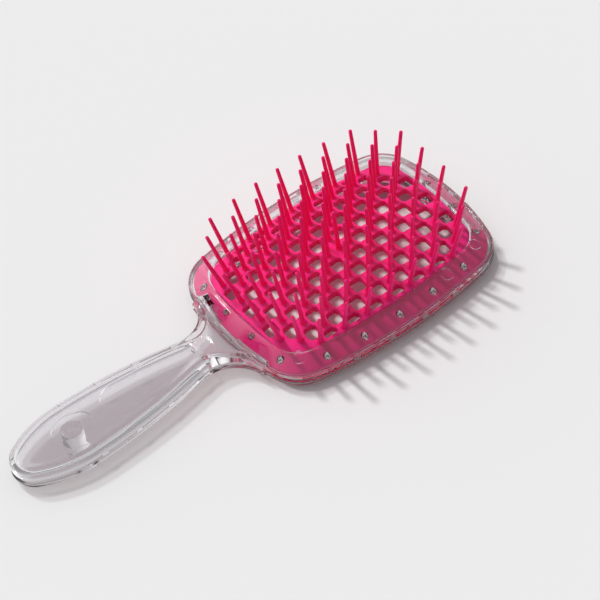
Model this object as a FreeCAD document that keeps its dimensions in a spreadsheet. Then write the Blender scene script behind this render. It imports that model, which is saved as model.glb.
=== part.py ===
import FreeCAD, Part
import math
import os
import Sketcher
from FreeCAD import Placement, Rotation, Vector

# A vented, paddle-shaped vanity hairbrush. Two clear mouldings, front_frame and back_frame, meet on a
# parting line and clamp the flange of the third, bristle_pad: a soft domed net that carries the pins.
# +X runs from the handle to the far end of the head, +Z is the way the pins point, and the origin is
# the middle of the footprint, on the plane that the brush rests on.

SIZES = {
    # head and handle, seen from above
    "brush_length": 210.0,
    "head_length": 112.0,
    "head_width": 85.0,
    "side_radius": 218.0,
    "end_radius": 107.0,
    "corner_radius": 17.0,
    "handle_width": 29.6,
    "handle_end_length": 28.0,
    "handle_nose_radius": 10.0,
    "neck_width": 16.8,
    "neck_to_head": 13.8,
    "neck_flare_radius": 14.4,
    # heights above the resting plane
    "parting_height": 6.15,
    "joint_gap": 0.7,
    "outer_corner_height": 7.7,
    "lip_height": 12.4,
    "handle_top_height": 13.0,
    "handle_underside_height": 1.6,
    "neck_valley_height": 8.2,
    "dome_height": 15.9,
    # the opening that the pad stands in, and the clear sloping bezel round it
    "opening_length": 94.0,
    "opening_width": 66.0,
    "opening_side_radius": 232.0,
    "opening_end_radius": 177.0,
    "opening_corner_radius": 12.0,
    "bezel_thickness": 2.0,
    "frame_wall": 2.0,
    # back ring
    "ring_section_width": 9.0,
    "ring_bowl_round": 4.4,
    "seat_wall_height": 6.6,
    "channel_floor": 2.0,
    "seat_wall": 1.8,
    # handle shells
    "handle_wall": 3.0,
    "handle_ceiling_height": 10.3,
    "handle_floor_height": 3.9,
    "handle_top_bevel": 3.4,
    "handle_bottom_bevel": 2.4,
    "valley_length": 17.0,
    "leaf_tip_to_head": 71.0,
    "leaf_middle_to_head": 104.0,
    "leaf_half_width": 7.0,
    "leaf_end_length": 9.0,
    "leaf_depth": 0.6,
    "emblem_depth": 0.6,
    "emblem_length": 17.0,
    "emblem_width": 11.0,
    "post_diameter": 9.6,
    # ribs that bridge the joint gap
    "bridge_length": 3.0,
    "bridge_pitch": 16.0,
    # locating pegs, their sockets and the holes that they pass through
    "peg_diameter": 2.6,
    "peg_pitch_side": 16.54,
    "peg_pitch_end": 16.28,
    "peg_inset_side": 5.64,
    "peg_inset_end": 6.6,
    "peg_tip_height": 3.2,
    "peg_root_rise": 1.8,
    "socket_diameter": 5.0,
    "socket_top_height": 4.7,
    "socket_floor_height": 2.6,
    # pad
    "fit_clearance": 0.15,
    "flange_inset": 2.8,
    "flange_thickness": 2.0,
    "net_thickness": 2.8,
    "dome_side_radius": 135.0,
    "dome_long_radius": 290.0,
    "dome_sweep": 24.0,
    "dome_overrun": 4.0,
    # pins and the vent holes between them
    "pin_pitch_x": 5.24,
    "pin_pitch_y": 6.35,
    "row_spread_x": 0.63,
    "row_squeeze_y": 1.28,
    "row_bow": 1.3,
    "pin_length": 20.6,
    "pin_root_diameter": 2.0,
    "pin_tip_diameter": 1.5,
    "pin_root_depth": 1.0,
    "pin_lean_x": 0.031,
    "pin_lean_x_edge": 0.354,
    "pin_lean_y": 0.081,
    "pin_lean_y_edge": 0.454,
    "web_width": 2.5,
    "net_border": 1.9,
}

PEG_SIDES = 6
BOWL_STEPS = 2
PIN_SIDES = 5
ROWS = 5
ROW_REACH = {0: 7, 1: 8, 2: 7, 3: 8, 4: 7, 5: 6}
HOLE_REACH = {0: 8, 1: 7, 2: 8, 3: 7, 4: 6, 5: 5}
Z = Vector(0, 0, 1)
doc = FreeCAD.newDocument("VanityHairbrush")


def make_sheet():
    """The driving dimensions, one named cell each."""
    sheet = doc.addObject("Spreadsheet::Sheet", "Sizes")
    for row, (name, value) in enumerate(SIZES.items(), start=1):
        sheet.set(f"A{row}", name)
        sheet.set(f"B{row}", str(value))
        sheet.setAlias(f"B{row}", name)
    doc.recompute()
    return sheet


sheet = make_sheet()


def size(name):
    """A driving dimension as a plain number, for geometry that is worked out in code."""
    return float(sheet.get(name))


def formula(text):
    """A formula of the sheet: each name in angle brackets is a cell."""
    return text.replace("<", "Sizes.").replace(">", "")


def evaluate(text):
    """The number that a formula of the sheet stands for."""
    return float(sheet.evalExpression(formula(text)))


def bind(target, path, text):
    """Bind a property or constraint to a formula of the sheet."""
    target.setExpression(path, formula(text))


def head_x():
    """X of the middle of the head."""
    return (size("brush_length") - size("head_length")) / 2


HEAD_X = "(<brush_length> - <head_length>) / 2"
LOWER_RIM = "(<parting_height> - <joint_gap> / 2)"
UPPER_RIM = "(<parting_height> + <joint_gap> / 2)"
BEZEL_RISE = "(<lip_height> - <outer_corner_height>)"
BEZEL_RUN = "((<head_width> - <opening_width>) / 2)"
BEZEL_TAPER = f"-atan({BEZEL_RUN} / {BEZEL_RISE})"


# ---------------------------------------------------------------- sketches

def new_body(label):
    body = doc.addObject("PartDesign::Body", label)
    body.Label = label
    return body


def origin_plane(body, role):
    return next(item for item in body.Origin.OriginFeatures if item.Role == role)


def new_sketch(body, name, role="XY_Plane", height=None):
    """A sketch on one of the body's own planes, raised to a height that is a formula of the sheet."""
    sketch = body.newObject("Sketcher::SketchObject", name)
    sketch.AttachmentSupport = [(origin_plane(body, role), "")]
    sketch.MapMode = "FlatFace"
    if height is not None:
        bind(sketch, ".AttachmentOffset.Base.z", height)
    return sketch


def arc(centre, radius, start, end):
    return Part.ArcOfCircle(Part.Circle(centre, Z, radius), start, end)


def oval_corner(length, width, side_radius, end_radius, corner_radius):
    """Centre of the corner arc that touches a long-side arc and an end arc from inside."""
    side = Vector(0, width / 2 - side_radius, 0)
    end = Vector(length / 2 - end_radius, 0, 0)
    reach_side = side_radius - corner_radius
    reach_end = end_radius - corner_radius
    gap = end - side
    span = gap.Length
    along = (reach_side ** 2 - reach_end ** 2 + span ** 2) / (2 * span)
    across = math.sqrt(reach_side ** 2 - along ** 2)
    gap.normalize()
    return side + gap * along + Vector(gap.y, -gap.x, 0) * across


def add_oval(sketch, dims):
    """Closed outline of eight tangent arcs round the middle of the head.

    dims holds five formulas of the sheet: length, width and the radii of the side, end and corner.
    """
    length, width, side_radius, end_radius, corner_radius = [evaluate(text) for text in dims]
    mid = Vector(head_x(), 0, 0)
    corner = oval_corner(length, width, side_radius, end_radius, corner_radius)
    side = Vector(0, width / 2 - side_radius, 0)
    end = Vector(length / 2 - end_radius, 0, 0)
    turn_side = math.atan2(corner.y - side.y, corner.x)
    turn_end = math.atan2(corner.y, corner.x - end.x)
    half = math.pi
    first = sketch.GeometryCount
    sketch.addGeometry([
        arc(mid + end, end_radius, -turn_end, turn_end),
        arc(mid + corner, corner_radius, turn_end, turn_side),
        arc(mid + side, side_radius, turn_side, half - turn_side),
        arc(mid + Vector(-corner.x, corner.y, 0), corner_radius, half - turn_side, half - turn_end),
        arc(mid - end, end_radius, half - turn_end, half + turn_end),
        arc(mid - corner, corner_radius, half + turn_end, half + turn_side),
        arc(mid - side, side_radius, half + turn_side, 2 * half - turn_side),
        arc(mid + Vector(corner.x, -corner.y, 0), corner_radius, -turn_side, -turn_end),
    ], False)
    for step in range(8):
        sketch.addConstraint(Sketcher.Constraint(
            "Tangent", first + step, 2, first + (step + 1) % 8, 1))
    length_text, width_text, side_text, end_text, corner_text = dims
    radii = {0: end_text, 2: side_text, 4: end_text, 6: side_text,
             1: corner_text, 3: corner_text, 5: corner_text, 7: corner_text}
    for step, text in radii.items():
        add_size(sketch, "Radius", (first + step,), text)
    add_size(sketch, "DistanceX", (-1, 1, first, 3), f"{HEAD_X} + {length_text} / 2 - {end_text}")
    add_size(sketch, "DistanceX", (-1, 1, first + 4, 3), f"{HEAD_X} - {length_text} / 2 + {end_text}")
    add_size(sketch, "DistanceY", (-1, 1, first + 2, 3), f"{width_text} / 2 - {side_text}")
    add_size(sketch, "DistanceY", (-1, 1, first + 6, 3), f"{side_text} - {width_text} / 2")


def add_size(sketch, kind, refs, text):
    """One driving constraint, set to the formula's value and bound to it."""
    index = sketch.addConstraint(Sketcher.Constraint(kind, *refs, evaluate(text)))
    bind(sketch, f"Constraints[{index}]", text)


def inset_oval(inset):
    """The head's outline, a distance inside its outer edge."""
    return (f"(<head_length> - 2 * ({inset}))", f"(<head_width> - 2 * ({inset}))",
            f"(<side_radius> - ({inset}))", f"(<end_radius> - ({inset}))", f"(<corner_radius> - ({inset}))")


def opening_oval(inset):
    """The opening's outline, a distance inside its lip."""
    return (f"(<opening_length> - 2 * ({inset}))", f"(<opening_width> - 2 * ({inset}))",
            f"(<opening_side_radius> - ({inset}))", f"(<opening_end_radius> - ({inset}))",
            f"(<opening_corner_radius> - ({inset}))")


def add_rectangle(sketch, x_low, y_low, x_high, y_high):
    add_polygon(sketch, [Vector(x_low, y_low, 0), Vector(x_high, y_low, 0),
                         Vector(x_high, y_high, 0), Vector(x_low, y_high, 0)])


def polygon_sides(points):
    return [Part.LineSegment(points[step - 1], point) for step, point in enumerate(points)]


def add_polygon(sketch, points):
    sketch.addGeometry(polygon_sides(points), False)


def handle_curves(inset):
    """Centre and radius of the nose, shoulder, taper and flare arcs of the handle's upper edge.

    Each arc touches the next: the nose and shoulder inside, the taper and flare outside.
    """
    tip_x = -size("brush_length") / 2
    wide_x = tip_x + size("handle_end_length")
    neck_x = head_x() - size("head_length") / 2 - size("neck_to_head")
    wide = size("handle_width") / 2
    nose = size("handle_nose_radius")
    flare = size("neck_flare_radius")
    back = wide_x - tip_x - nose
    shoulder = (back ** 2 + wide ** 2 - nose ** 2) / (2 * (wide - nose))
    run = neck_x - wide_x
    rise = size("neck_width") / 2 + flare - wide
    taper = (run ** 2 + rise ** 2 - flare ** 2) / (2 * (flare - rise))
    return [(Vector(tip_x + nose, 0, 0), nose - inset), (Vector(wide_x, wide - shoulder, 0), shoulder - inset),
            (Vector(wide_x, wide - taper, 0), taper - inset),
            (Vector(neck_x, size("neck_width") / 2 + flare, 0), flare + inset)]


def heading(start, stop):
    """Angle of the line from one centre to another."""
    return math.atan2(stop.y - start.y, stop.x - start.x)


def add_handle(sketch, inset, close_x):
    """The handle's outline: a round nose, a long taper, and flares that run up to the head.

    It closes on a straight line at close_x, which may lie short of the flares' ends or inside the head.
    """
    (nose, nose_r), (shoulder, shoulder_r), (taper, taper_r), (flare, flare_r) = handle_curves(inset)
    up = math.pi / 2
    nose_turn = heading(shoulder, nose)
    taper_turn = heading(taper, flare)
    reach = min(close_x - flare.x, flare_r)
    flare_turn = -math.acos(reach / flare_r)
    upper = [
        arc(shoulder, shoulder_r, up, nose_turn),
        arc(taper, taper_r, taper_turn, up),
        arc(flare, flare_r, math.pi + taper_turn, 2 * math.pi + flare_turn),
    ]
    lower = [arc(Vector(curve.Center.x, -curve.Center.y, 0), curve.Radius,
                 -curve.LastParameter, -curve.FirstParameter) for curve in upper]
    end = flare + Vector(math.cos(flare_turn), math.sin(flare_turn), 0) * flare_r
    far = Vector(max(close_x, end.x), end.y, 0)
    closing = [Part.LineSegment(far, Vector(far.x, -far.y, 0))]
    if far.x > end.x:
        closing.append(Part.LineSegment(end, far))
        closing.append(Part.LineSegment(Vector(end.x, -end.y, 0), Vector(far.x, -far.y, 0)))
    sketch.addGeometry([arc(nose, nose_r, nose_turn, 2 * math.pi - nose_turn)] + upper + lower + closing, False)


# ---------------------------------------------------------------- features

def add_feature(body, kind, name, profile):
    feature = body.newObject("PartDesign::" + kind, name)
    feature.Profile = profile
    return feature


def pad(body, name, profile, length):
    feature = add_feature(body, "Pad", name, profile)
    bind(feature, "Length", length)
    return feature


def pocket(body, name, profile, depth=None, upwards=False):
    """Cut down from the profile by a depth, or right through both ways when no depth is given."""
    feature = add_feature(body, "Pocket", name, profile)
    if depth is None:
        feature.Type = "ThroughAll"
        feature.SideType = "Symmetric"
    else:
        bind(feature, "Length", depth)
        feature.Reversed = upwards
    return feature


def tapered(feature, angle):
    """Draw a pad or pocket in (or out, for a minus sign) as it leaves its profile."""
    bind(feature, "TaperAngle", angle)
    return feature


def oval_sketch(body, name, dims, height):
    sketch = new_sketch(body, name, height=height)
    add_oval(sketch, dims)
    return sketch


def handle_sketch(body, name, inset, height, close_x):
    sketch = new_sketch(body, name, height=height)
    add_handle(sketch, inset, close_x)
    return sketch


def bevel_edges(body, name, base, width, wanted):
    """A bevel along the edges of a feature that a test picks out."""
    doc.recompute()
    names = [f"Edge{number}" for number, edge in enumerate(base.Shape.Edges, start=1) if wanted(edge)]
    bevel = body.newObject("PartDesign::Chamfer", name)
    bevel.Base = (base, names)
    bind(bevel, "Size", width)
    return bevel


# ---------------------------------------------------------------- pegs and bridges

def peg_places():
    """Middle of each locating peg, five along each side and four across each end of the head."""
    places = []
    bow_side = size("peg_pitch_side") ** 2 / (2 * (size("side_radius") + size("opening_side_radius")) / 2)
    bow_end = size("peg_pitch_end") ** 2 / (2 * (size("end_radius") + size("opening_end_radius")) / 2)
    for turn in (-1, 1):
        for step in range(-2, 3):
            across = size("head_width") / 2 - size("peg_inset_side") - bow_side * step ** 2
            places.append(Vector(head_x() + size("peg_pitch_side") * step, turn * across, 0))
        for step in (-1.5, -0.5, 0.5, 1.5):
            along = size("head_length") / 2 - size("peg_inset_end") - bow_end * step ** 2
            places.append(Vector(head_x() + turn * along, size("peg_pitch_end") * step, 0))
    return places


def add_rounds(sketch, places, diameter):
    """Small round outlines, as regular polygons of the same width across their flats."""
    reach = evaluate(diameter) / 2 / math.cos(math.pi / PEG_SIDES)
    for place in places:
        add_polygon(sketch, [place + Vector(reach * math.cos(turn), reach * math.sin(turn), 0)
                             for turn in corner_turns(PEG_SIDES)])


def corner_turns(sides):
    return [2 * math.pi * (step + 0.5) / sides for step in range(sides)]


def bridge_places():
    """Middle and turn of each rib that bridges the joint gap, on the middle line of the walls."""
    places = []
    side = size("side_radius")
    end = size("end_radius")
    half = size("frame_wall") / 2
    for turn in (-1, 1):
        hub = Vector(head_x(), turn * (size("head_width") / 2 - side), 0)
        for step in (-1.5, -0.5, 0.5, 1.5):
            angle = math.asin(size("bridge_pitch") * step / side)
            spoke = Vector(math.sin(angle), turn * math.cos(angle), 0)
            places.append((hub + spoke * (side - half), -turn * math.degrees(angle)))
    for step in (-1, 0, 1):
        hub = Vector(head_x() + size("head_length") / 2 - end, 0, 0)
        angle = math.asin(size("bridge_pitch") * step / end)
        spoke = Vector(math.cos(angle), math.sin(angle), 0)
        places.append((hub + spoke * (end - half), 90 + math.degrees(angle)))
    taper_centre, taper = handle_curves(size("handle_wall") / 2)[2]
    for turn in (-1, 1):
        for step in (-1.5, -0.5, 0.5, 1.5):
            along = handle_mid_x() + size("bridge_pitch") * step - taper_centre.x
            angle = math.asin(along / taper)
            spoke = Vector(math.sin(angle), math.cos(angle), 0) * taper
            place = taper_centre + spoke
            places.append((Vector(place.x, turn * place.y, 0), -turn * math.degrees(angle)))
    return places


def handle_mid_x():
    """X of the middle of the handle's long taper, where its bridging ribs are centred."""
    start = head_x() - size("head_length") / 2 - size("neck_to_head")
    end = -size("brush_length") / 2 + size("handle_end_length")
    return (start + end) / 2


# ---------------------------------------------------------------- clear frames

def make_handle_top():
    """The hollow top half of the handle, with its thumb leaf and oval recess."""
    body = new_body("HandleTop")
    outline = handle_sketch(body, "HandleOutline", 0, UPPER_RIM, handle_root_x())
    block = pad(body, "HandleBlock", outline, f"<handle_top_height> - ({UPPER_RIM})")
    bevel_rim(body, "HandleBevel", block, "<handle_top_bevel>", size("handle_top_height"))
    valley = new_sketch(body, "NeckValley", "XZ_Plane")
    add_valley(valley)
    pocket(body, "NeckValleyCut", valley)
    clear = oval_sketch(body, "HeadClearance", inset_oval("<frame_wall> - 0.1"), "0")
    pocket(body, "HeadClearanceCut", clear)
    inside = handle_sketch(body, "HandleInside", size("handle_wall"), UPPER_RIM, neck_close_x())
    pocket(body, "HandleHollow", inside, f"<handle_ceiling_height> - ({UPPER_RIM})", upwards=True)
    leaf = new_sketch(body, "ThumbLeaf", height="<handle_top_height> + 1")
    add_leaf(leaf)
    pocket(body, "ThumbRecess", leaf, "<leaf_depth> + 1")
    emblem = new_sketch(body, "EmblemOval", height="<handle_top_height> + 1")
    add_emblem(emblem)
    pocket(body, "EmblemRecess", emblem, "<emblem_depth> + 1")
    return body


def make_bezel():
    """The clear ring that slopes up from the head's edge to the lip, with pegs under it."""
    body = new_body("Bezel")
    wall = oval_sketch(body, "RingWall", inset_oval("0"), UPPER_RIM)
    pad(body, "RingBase", wall, f"<outer_corner_height> - ({UPPER_RIM})")
    slope = oval_sketch(body, "SlopeFoot", inset_oval("0"), "<outer_corner_height>")
    tapered(pad(body, "BezelSlope", slope, BEZEL_RISE), BEZEL_TAPER)
    under = oval_sketch(body, "UnderFoot", inset_oval("<frame_wall>"), UPPER_RIM)
    depth = f"<lip_height> - <bezel_thickness> - {UPPER_RIM}"
    tapered(pocket(body, "BezelUnderside", under, depth, upwards=True), BEZEL_TAPER)
    opening = oval_sketch(body, "Opening", opening_oval("0"), "0")
    pocket(body, "OpeningCut", opening)
    pegs = new_sketch(body, "Pegs", height="<peg_tip_height>")
    add_rounds(pegs, peg_places(), "<peg_diameter>")
    pad(body, "LocatingPegs", pegs, "<outer_corner_height> + <peg_root_rise> - <peg_tip_height>")
    return body


def make_front_frame():
    """Upper clear moulding: handle top and bezel in one."""
    return fused("front_frame", [make_handle_top(), make_bezel()])


def fused(label, pieces):
    fuse = doc.addObject("Part::MultiFuse", label)
    fuse.Label = label
    fuse.Shapes = pieces
    return fuse


def handle_root_x():
    """X inside the head where the handle's block ends before the head is cleared."""
    return head_x() - size("head_length") / 2 + 14


def bevel_rim(body, name, base, width, height):
    """Bevel the level rim of the handle's block, from flare to flare."""
    flare, radius = handle_curves(0)[3]
    stop = min(flare.x + radius + 0.01, handle_root_x() - 1)
    return bevel_edges(body, name, base, width,
                       lambda edge: abs(edge.BoundBox.ZMin - height) < 0.01
                       and abs(edge.BoundBox.ZMax - height) < 0.01
                       and edge.BoundBox.XMax < stop)


def neck_close_x():
    """X where the handle's hollow stops, short of the solid neck."""
    return head_x() - size("head_length") / 2 - size("neck_to_head") + 2


def add_valley(sketch):
    """Side view of what is cut away above the neck: the top sinks on an S curve to the ring's edge."""
    ring = head_x() - size("head_length") / 2
    top = size("handle_top_height")
    low = size("neck_valley_height")
    fall = top - low
    run = size("valley_length")
    radius = (run ** 2 + fall ** 2) / (4 * fall)
    start = Vector(ring - 1 - run, top, 0)
    stop = Vector(ring - 1, low, 0)
    turn = 2 * math.atan2(fall, run)
    edge = Vector(ring + 8, low, 0)
    sketch.addGeometry([
        arc(Vector(start.x, top - radius, 0), radius, math.pi / 2 - turn, math.pi / 2),
        arc(Vector(stop.x, low + radius, 0), radius, 1.5 * math.pi - turn, 1.5 * math.pi),
        Part.LineSegment(stop, edge),
        Part.LineSegment(edge, Vector(edge.x, top + 5, 0)),
        Part.LineSegment(Vector(edge.x, top + 5, 0), Vector(start.x, top + 5, 0)),
        Part.LineSegment(Vector(start.x, top + 5, 0), start),
    ], False)


def add_leaf(sketch):
    """Leaf-shaped thumb recess: a round end towards the handle's end and a point towards the neck."""
    wide_x = head_x() - size("leaf_middle_to_head")
    half = size("leaf_half_width")
    run = size("leaf_middle_to_head") - size("leaf_tip_to_head")
    radius = (run ** 2 + half ** 2) / (2 * half)
    turn = math.asin(run / radius)
    upper = Vector(wide_x, half - radius, 0)
    lower = Vector(wide_x, radius - half, 0)
    ellipse = Part.Ellipse(Vector(wide_x, 0, 0), size("leaf_end_length"), half)
    quarter = math.pi / 2
    sketch.addGeometry([
        arc(upper, radius, quarter - turn, quarter),
        Part.ArcOfEllipse(ellipse, quarter, 3 * quarter),
        arc(lower, radius, 3 * quarter, 3 * quarter + turn),
    ], False)


def emblem_middle():
    """Middle of the oval recess near the handle's end."""
    return Vector(-size("brush_length") / 2 + size("handle_end_length") - 1, 0, 0)


def add_emblem(sketch):
    sketch.addGeometry(Part.Ellipse(emblem_middle(), size("emblem_length") / 2, size("emblem_width") / 2), False)


def make_tray():
    """The lower half of the handle: an open tray with a rounded underside and the emblem's post."""
    body = new_body("Tray")
    outline = handle_sketch(body, "TrayOutline", 0, "<handle_underside_height>", handle_root_x())
    block = pad(body, "TrayBlock", outline, f"{LOWER_RIM} - <handle_underside_height>")
    bevel_rim(body, "TrayBevel", block, "<handle_bottom_bevel>", size("handle_underside_height"))
    clear = oval_sketch(body, "HeadClearance", inset_oval("<frame_wall> - 0.1"), "0")
    pocket(body, "HeadClearanceCut", clear)
    inside = handle_sketch(body, "TrayInside", size("handle_wall"), LOWER_RIM, neck_close_x())
    pocket(body, "TrayHollow", inside, f"{LOWER_RIM} - <handle_floor_height>")
    post = new_sketch(body, "EmblemPost", height="<handle_floor_height> - 0.2")
    add_rounds(post, [emblem_middle()], "<post_diameter>")
    pad(body, "Post", post, "<handle_ceiling_height> - <fit_clearance> - <handle_floor_height> + 0.2")
    return body


def make_back_ring():
    """The bowl-shaped back ring: an open channel with a seat wall, peg sockets and bridging ribs."""
    body = new_body("BackRing")
    wall = oval_sketch(body, "RingWall", inset_oval("0"), "<ring_bowl_round>")
    pad(body, "RingBlock", wall, f"{LOWER_RIM} - <ring_bowl_round>")
    for step in range(BOWL_STEPS):
        before = 90 * step / BOWL_STEPS
        after = 90 * (step + 1) / BOWL_STEPS
        inset = f"<ring_bowl_round> * (1 - cos({before}))"
        height = f"<ring_bowl_round> * (1 - sin({before}))"
        fall = f"<ring_bowl_round> * (sin({after}) - sin({before}))"
        bowl = oval_sketch(body, f"BowlStep{step}", inset_oval(inset), height)
        strip = tapered(pad(body, f"Bowl{step}", bowl, fall), str(-(before + after) / 2))
        strip.Reversed = True
    middle = oval_sketch(body, "RingMiddle", inset_oval("<ring_section_width>"), "0")
    pocket(body, "RingOpening", middle)
    channel = oval_sketch(body, "ChannelOuter", inset_oval("<frame_wall>"), LOWER_RIM)
    add_oval(channel, inset_oval("<ring_section_width> - <seat_wall>"))
    pocket(body, "Channel", channel, f"{LOWER_RIM} - <channel_floor>")
    seat = oval_sketch(body, "SeatWall", inset_oval("<ring_section_width> - <seat_wall>"), "<channel_floor>")
    add_oval(seat, inset_oval("<ring_section_width>"))
    pad(body, "Seat", seat, "<seat_wall_height> - <channel_floor>")
    sockets = new_sketch(body, "Sockets", height="<channel_floor> - 0.3")
    add_rounds(sockets, peg_places(), "<socket_diameter>")
    pad(body, "SocketPosts", sockets, "<socket_top_height> - <channel_floor> + 0.3")
    bores = new_sketch(body, "SocketBores", height="<seat_wall_height>")
    add_rounds(bores, peg_places(), "<peg_diameter> + 2 * <fit_clearance>")
    pocket(body, "SocketHoles", bores, "<seat_wall_height> - <socket_floor_height>")
    return body


def make_bridges():
    """The short ribs between the two clear halves, as one body of separate blocks."""
    blocks = []
    for middle, turn in bridge_places():
        block = doc.addObject("Part::Box", "Bridge")
        bind(block, "Length", "<bridge_length>")
        bind(block, "Width", "<frame_wall> - 0.4")
        bind(block, "Height", "<joint_gap> + 0.38")
        spin = Rotation(Z, turn)
        corner = Vector(-size("bridge_length") / 2, 0.2 - size("frame_wall") / 2, 0)
        base = middle + spin.multVec(corner) + Vector(0, 0, evaluate(LOWER_RIM) - 0.4)
        block.Placement = Placement(base, spin)
        blocks.append(block)
    return blocks


def make_back_frame():
    """Lower clear moulding: handle tray and back ring in one, with the ribs that bridge the joint gap."""
    return fused("back_frame", [make_tray(), make_back_ring()] + make_bridges())


# ---------------------------------------------------------------- pad

def lattice_point(i, j):
    """A place in the pins' staggered lattice.

    The pitch grows along the head and shrinks across it, and the outer rows bow in towards their ends.
    """
    across = j / ROWS
    x = size("pin_pitch_x") * i + size("row_spread_x") * (i / ROW_REACH[1]) ** 3
    y = size("pin_pitch_y") * j - size("row_squeeze_y") * across ** 3
    bow = size("row_bow") * across ** 3 * (i / ROW_REACH[ROWS]) ** 2
    return Vector(x, y - bow, 0)


def staggered(reach):
    """Lattice places row by row, every second one, out to each row's reach."""
    return [(i, j) for j in range(-ROWS, ROWS + 1) for i in range(-reach[abs(j)], reach[abs(j)] + 1, 2)]


def pin_sites():
    """Lattice places that carry a pin: staggered rows, and one more pin at the very middle."""
    return [(0, 0)] + staggered(ROW_REACH)


def hole_sites():
    """Lattice places between the pins that carry a vent hole."""
    return [site for site in staggered(HOLE_REACH) if site != (0, 0)]


def border_half_width(x):
    """Half width of the net at a distance x from the middle, inside its smooth border."""
    inset = size("net_border")
    radius = size("opening_side_radius")
    return size("opening_width") / 2 - inset - radius + math.sqrt(radius ** 2 - x ** 2)


def clip(points, inside, cross):
    """Keep the part of a polygon where inside() is positive."""
    kept = []
    for step, point in enumerate(points):
        nearby = points[step - 1]
        if (inside(point) > 0) != (inside(nearby) > 0):
            kept.append(cross(nearby, point))
        if inside(point) > 0:
            kept.append(point)
    return kept


def straight_cross(inside):
    def cross(first, second):
        before = inside(first)
        after = inside(second)
        return first + (second - first) * (before / (before - after))
    return cross


def hole_outline(i, j):
    """Corners of a vent hole: the diamond between four pins, drawn in by half a web and blunted."""
    centre = lattice_point(i, j)
    tips = [lattice_point(i + 1, j) - centre, lattice_point(i, j + 1) - centre,
            lattice_point(i - 1, j) - centre, lattice_point(i, j - 1) - centre]
    across = abs(tips[0].x) * abs(tips[1].y) / (tips[0] - tips[1]).Length
    shrink = 1 - size("web_width") / 2 / across
    corners = [centre + tip * shrink for tip in tips]
    limit_x = size("opening_length") / 2 - size("net_border")
    limit_y = border_half_width(centre.x)
    for inside in (lambda p: limit_x - p.x, lambda p: limit_x + p.x,
                   lambda p: limit_y - p.y, lambda p: limit_y + p.y):
        corners = clip(corners, inside, straight_cross(inside))
    return [corner + Vector(head_x(), 0, 0) for corner in corners]


def make_net():
    """The domed net: a slab curved both ways, trimmed to the opening and pierced by the vent holes."""
    body = new_body("Net")
    section = new_sketch(body, "DomeSection", "YZ_Plane", HEAD_X)
    bind(section, ".AttachmentOffset.Base.y", "<dome_height> - <dome_long_radius>")
    add_dome_section(section)
    dome = body.newObject("PartDesign::Revolution", "Dome")
    dome.Profile = section
    dome.ReferenceAxis = (section, ["H_Axis"])
    dome.Midplane = True
    bind(dome, "Angle", "<dome_sweep>")
    trim = oval_sketch(body, "NetOutline", opening_oval("<fit_clearance>"), "0")
    far = size("brush_length")
    add_rectangle(trim, -far, -far, far, far)
    pocket(body, "NetTrim", trim)
    holes = new_sketch(body, "VentHoles")
    holes.addGeometry([side for i, j in hole_sites() for side in polygon_sides(hole_outline(i, j))], False)
    pocket(body, "Vents", holes)
    return body


def add_dome_section(sketch):
    radius = size("dome_side_radius")
    inner = radius - size("net_thickness")
    crest = size("dome_long_radius")
    half = size("opening_width") / 2 + size("dome_overrun")
    turn = math.asin(half / radius)
    centre = Vector(0, crest - radius, 0)
    up = math.pi / 2
    outer_arc = arc(centre, radius, up - turn, up + turn)
    inner_arc = arc(centre, inner, up - turn, up + turn)
    sketch.addGeometry([
        outer_arc,
        inner_arc,
        Part.LineSegment(outer_arc.StartPoint, inner_arc.StartPoint),
        Part.LineSegment(outer_arc.EndPoint, inner_arc.EndPoint),
    ], False)


def make_flange():
    """The pad's sloping rim, clamped under the bezel and pierced for the locating pegs."""
    body = new_body("Flange")
    outline = inset_oval("<flange_inset>")
    slant = f"{BEZEL_RISE} / {BEZEL_RUN}"
    edge_top = f"({UPPER_RIM} + (<flange_inset> - <frame_wall>) * {slant} - <fit_clearance>)"
    rise = f"({BEZEL_RUN} + <fit_clearance> - <flange_inset>) * {slant}"
    foot = oval_sketch(body, "FlangeFoot", outline, f"{edge_top} - <flange_thickness>")
    pad(body, "FlangeEdge", foot, "<flange_thickness>")
    top = oval_sketch(body, "FlangeTop", outline, edge_top)
    tapered(pad(body, "FlangeSlope", top, rise), BEZEL_TAPER)
    under = oval_sketch(body, "FlangeUnder", outline, f"{edge_top} - <flange_thickness>")
    tapered(pocket(body, "FlangeUnderside", under, rise, upwards=True), BEZEL_TAPER)
    middle = oval_sketch(body, "FlangeOpening", opening_oval("2"), "0")
    pocket(body, "FlangeMiddle", middle)
    holes = new_sketch(body, "PegHoles")
    add_rounds(holes, peg_places(), "<peg_diameter> + 2 * <fit_clearance>")
    pocket(body, "PegHoleCut", holes)
    return body


def dome_point(x, y):
    """A point of the dome's outer surface above a place of the lattice."""
    side = size("dome_side_radius")
    long = size("dome_long_radius")
    across = math.sqrt(side ** 2 - y ** 2) - side + long
    height = math.sqrt(across ** 2 - x ** 2) - long + size("dome_height")
    return Vector(head_x() + x, y, height)


def pin_direction(x, y):
    """The way a pin points: upright in the middle and splayed more and more towards the edges."""
    along = x / (size("opening_length") / 2)
    across = y / (size("head_width") / 2 - size("bezel_thickness") - size("flange_inset"))
    lean_x = size("pin_lean_x") * along + size("pin_lean_x_edge") * along ** 3
    lean_y = size("pin_lean_y") * across + size("pin_lean_y_edge") * across ** 3
    lean = Vector(lean_x, lean_y, 1)
    lean.normalize()
    return lean


def corner_ring(radius, height):
    return [Vector(radius * math.cos(turn), radius * math.sin(turn), height) for turn in corner_turns(PIN_SIDES)]


def flat_face(corners):
    return Part.Face(Part.makePolygon(corners + corners[:1]))


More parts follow.
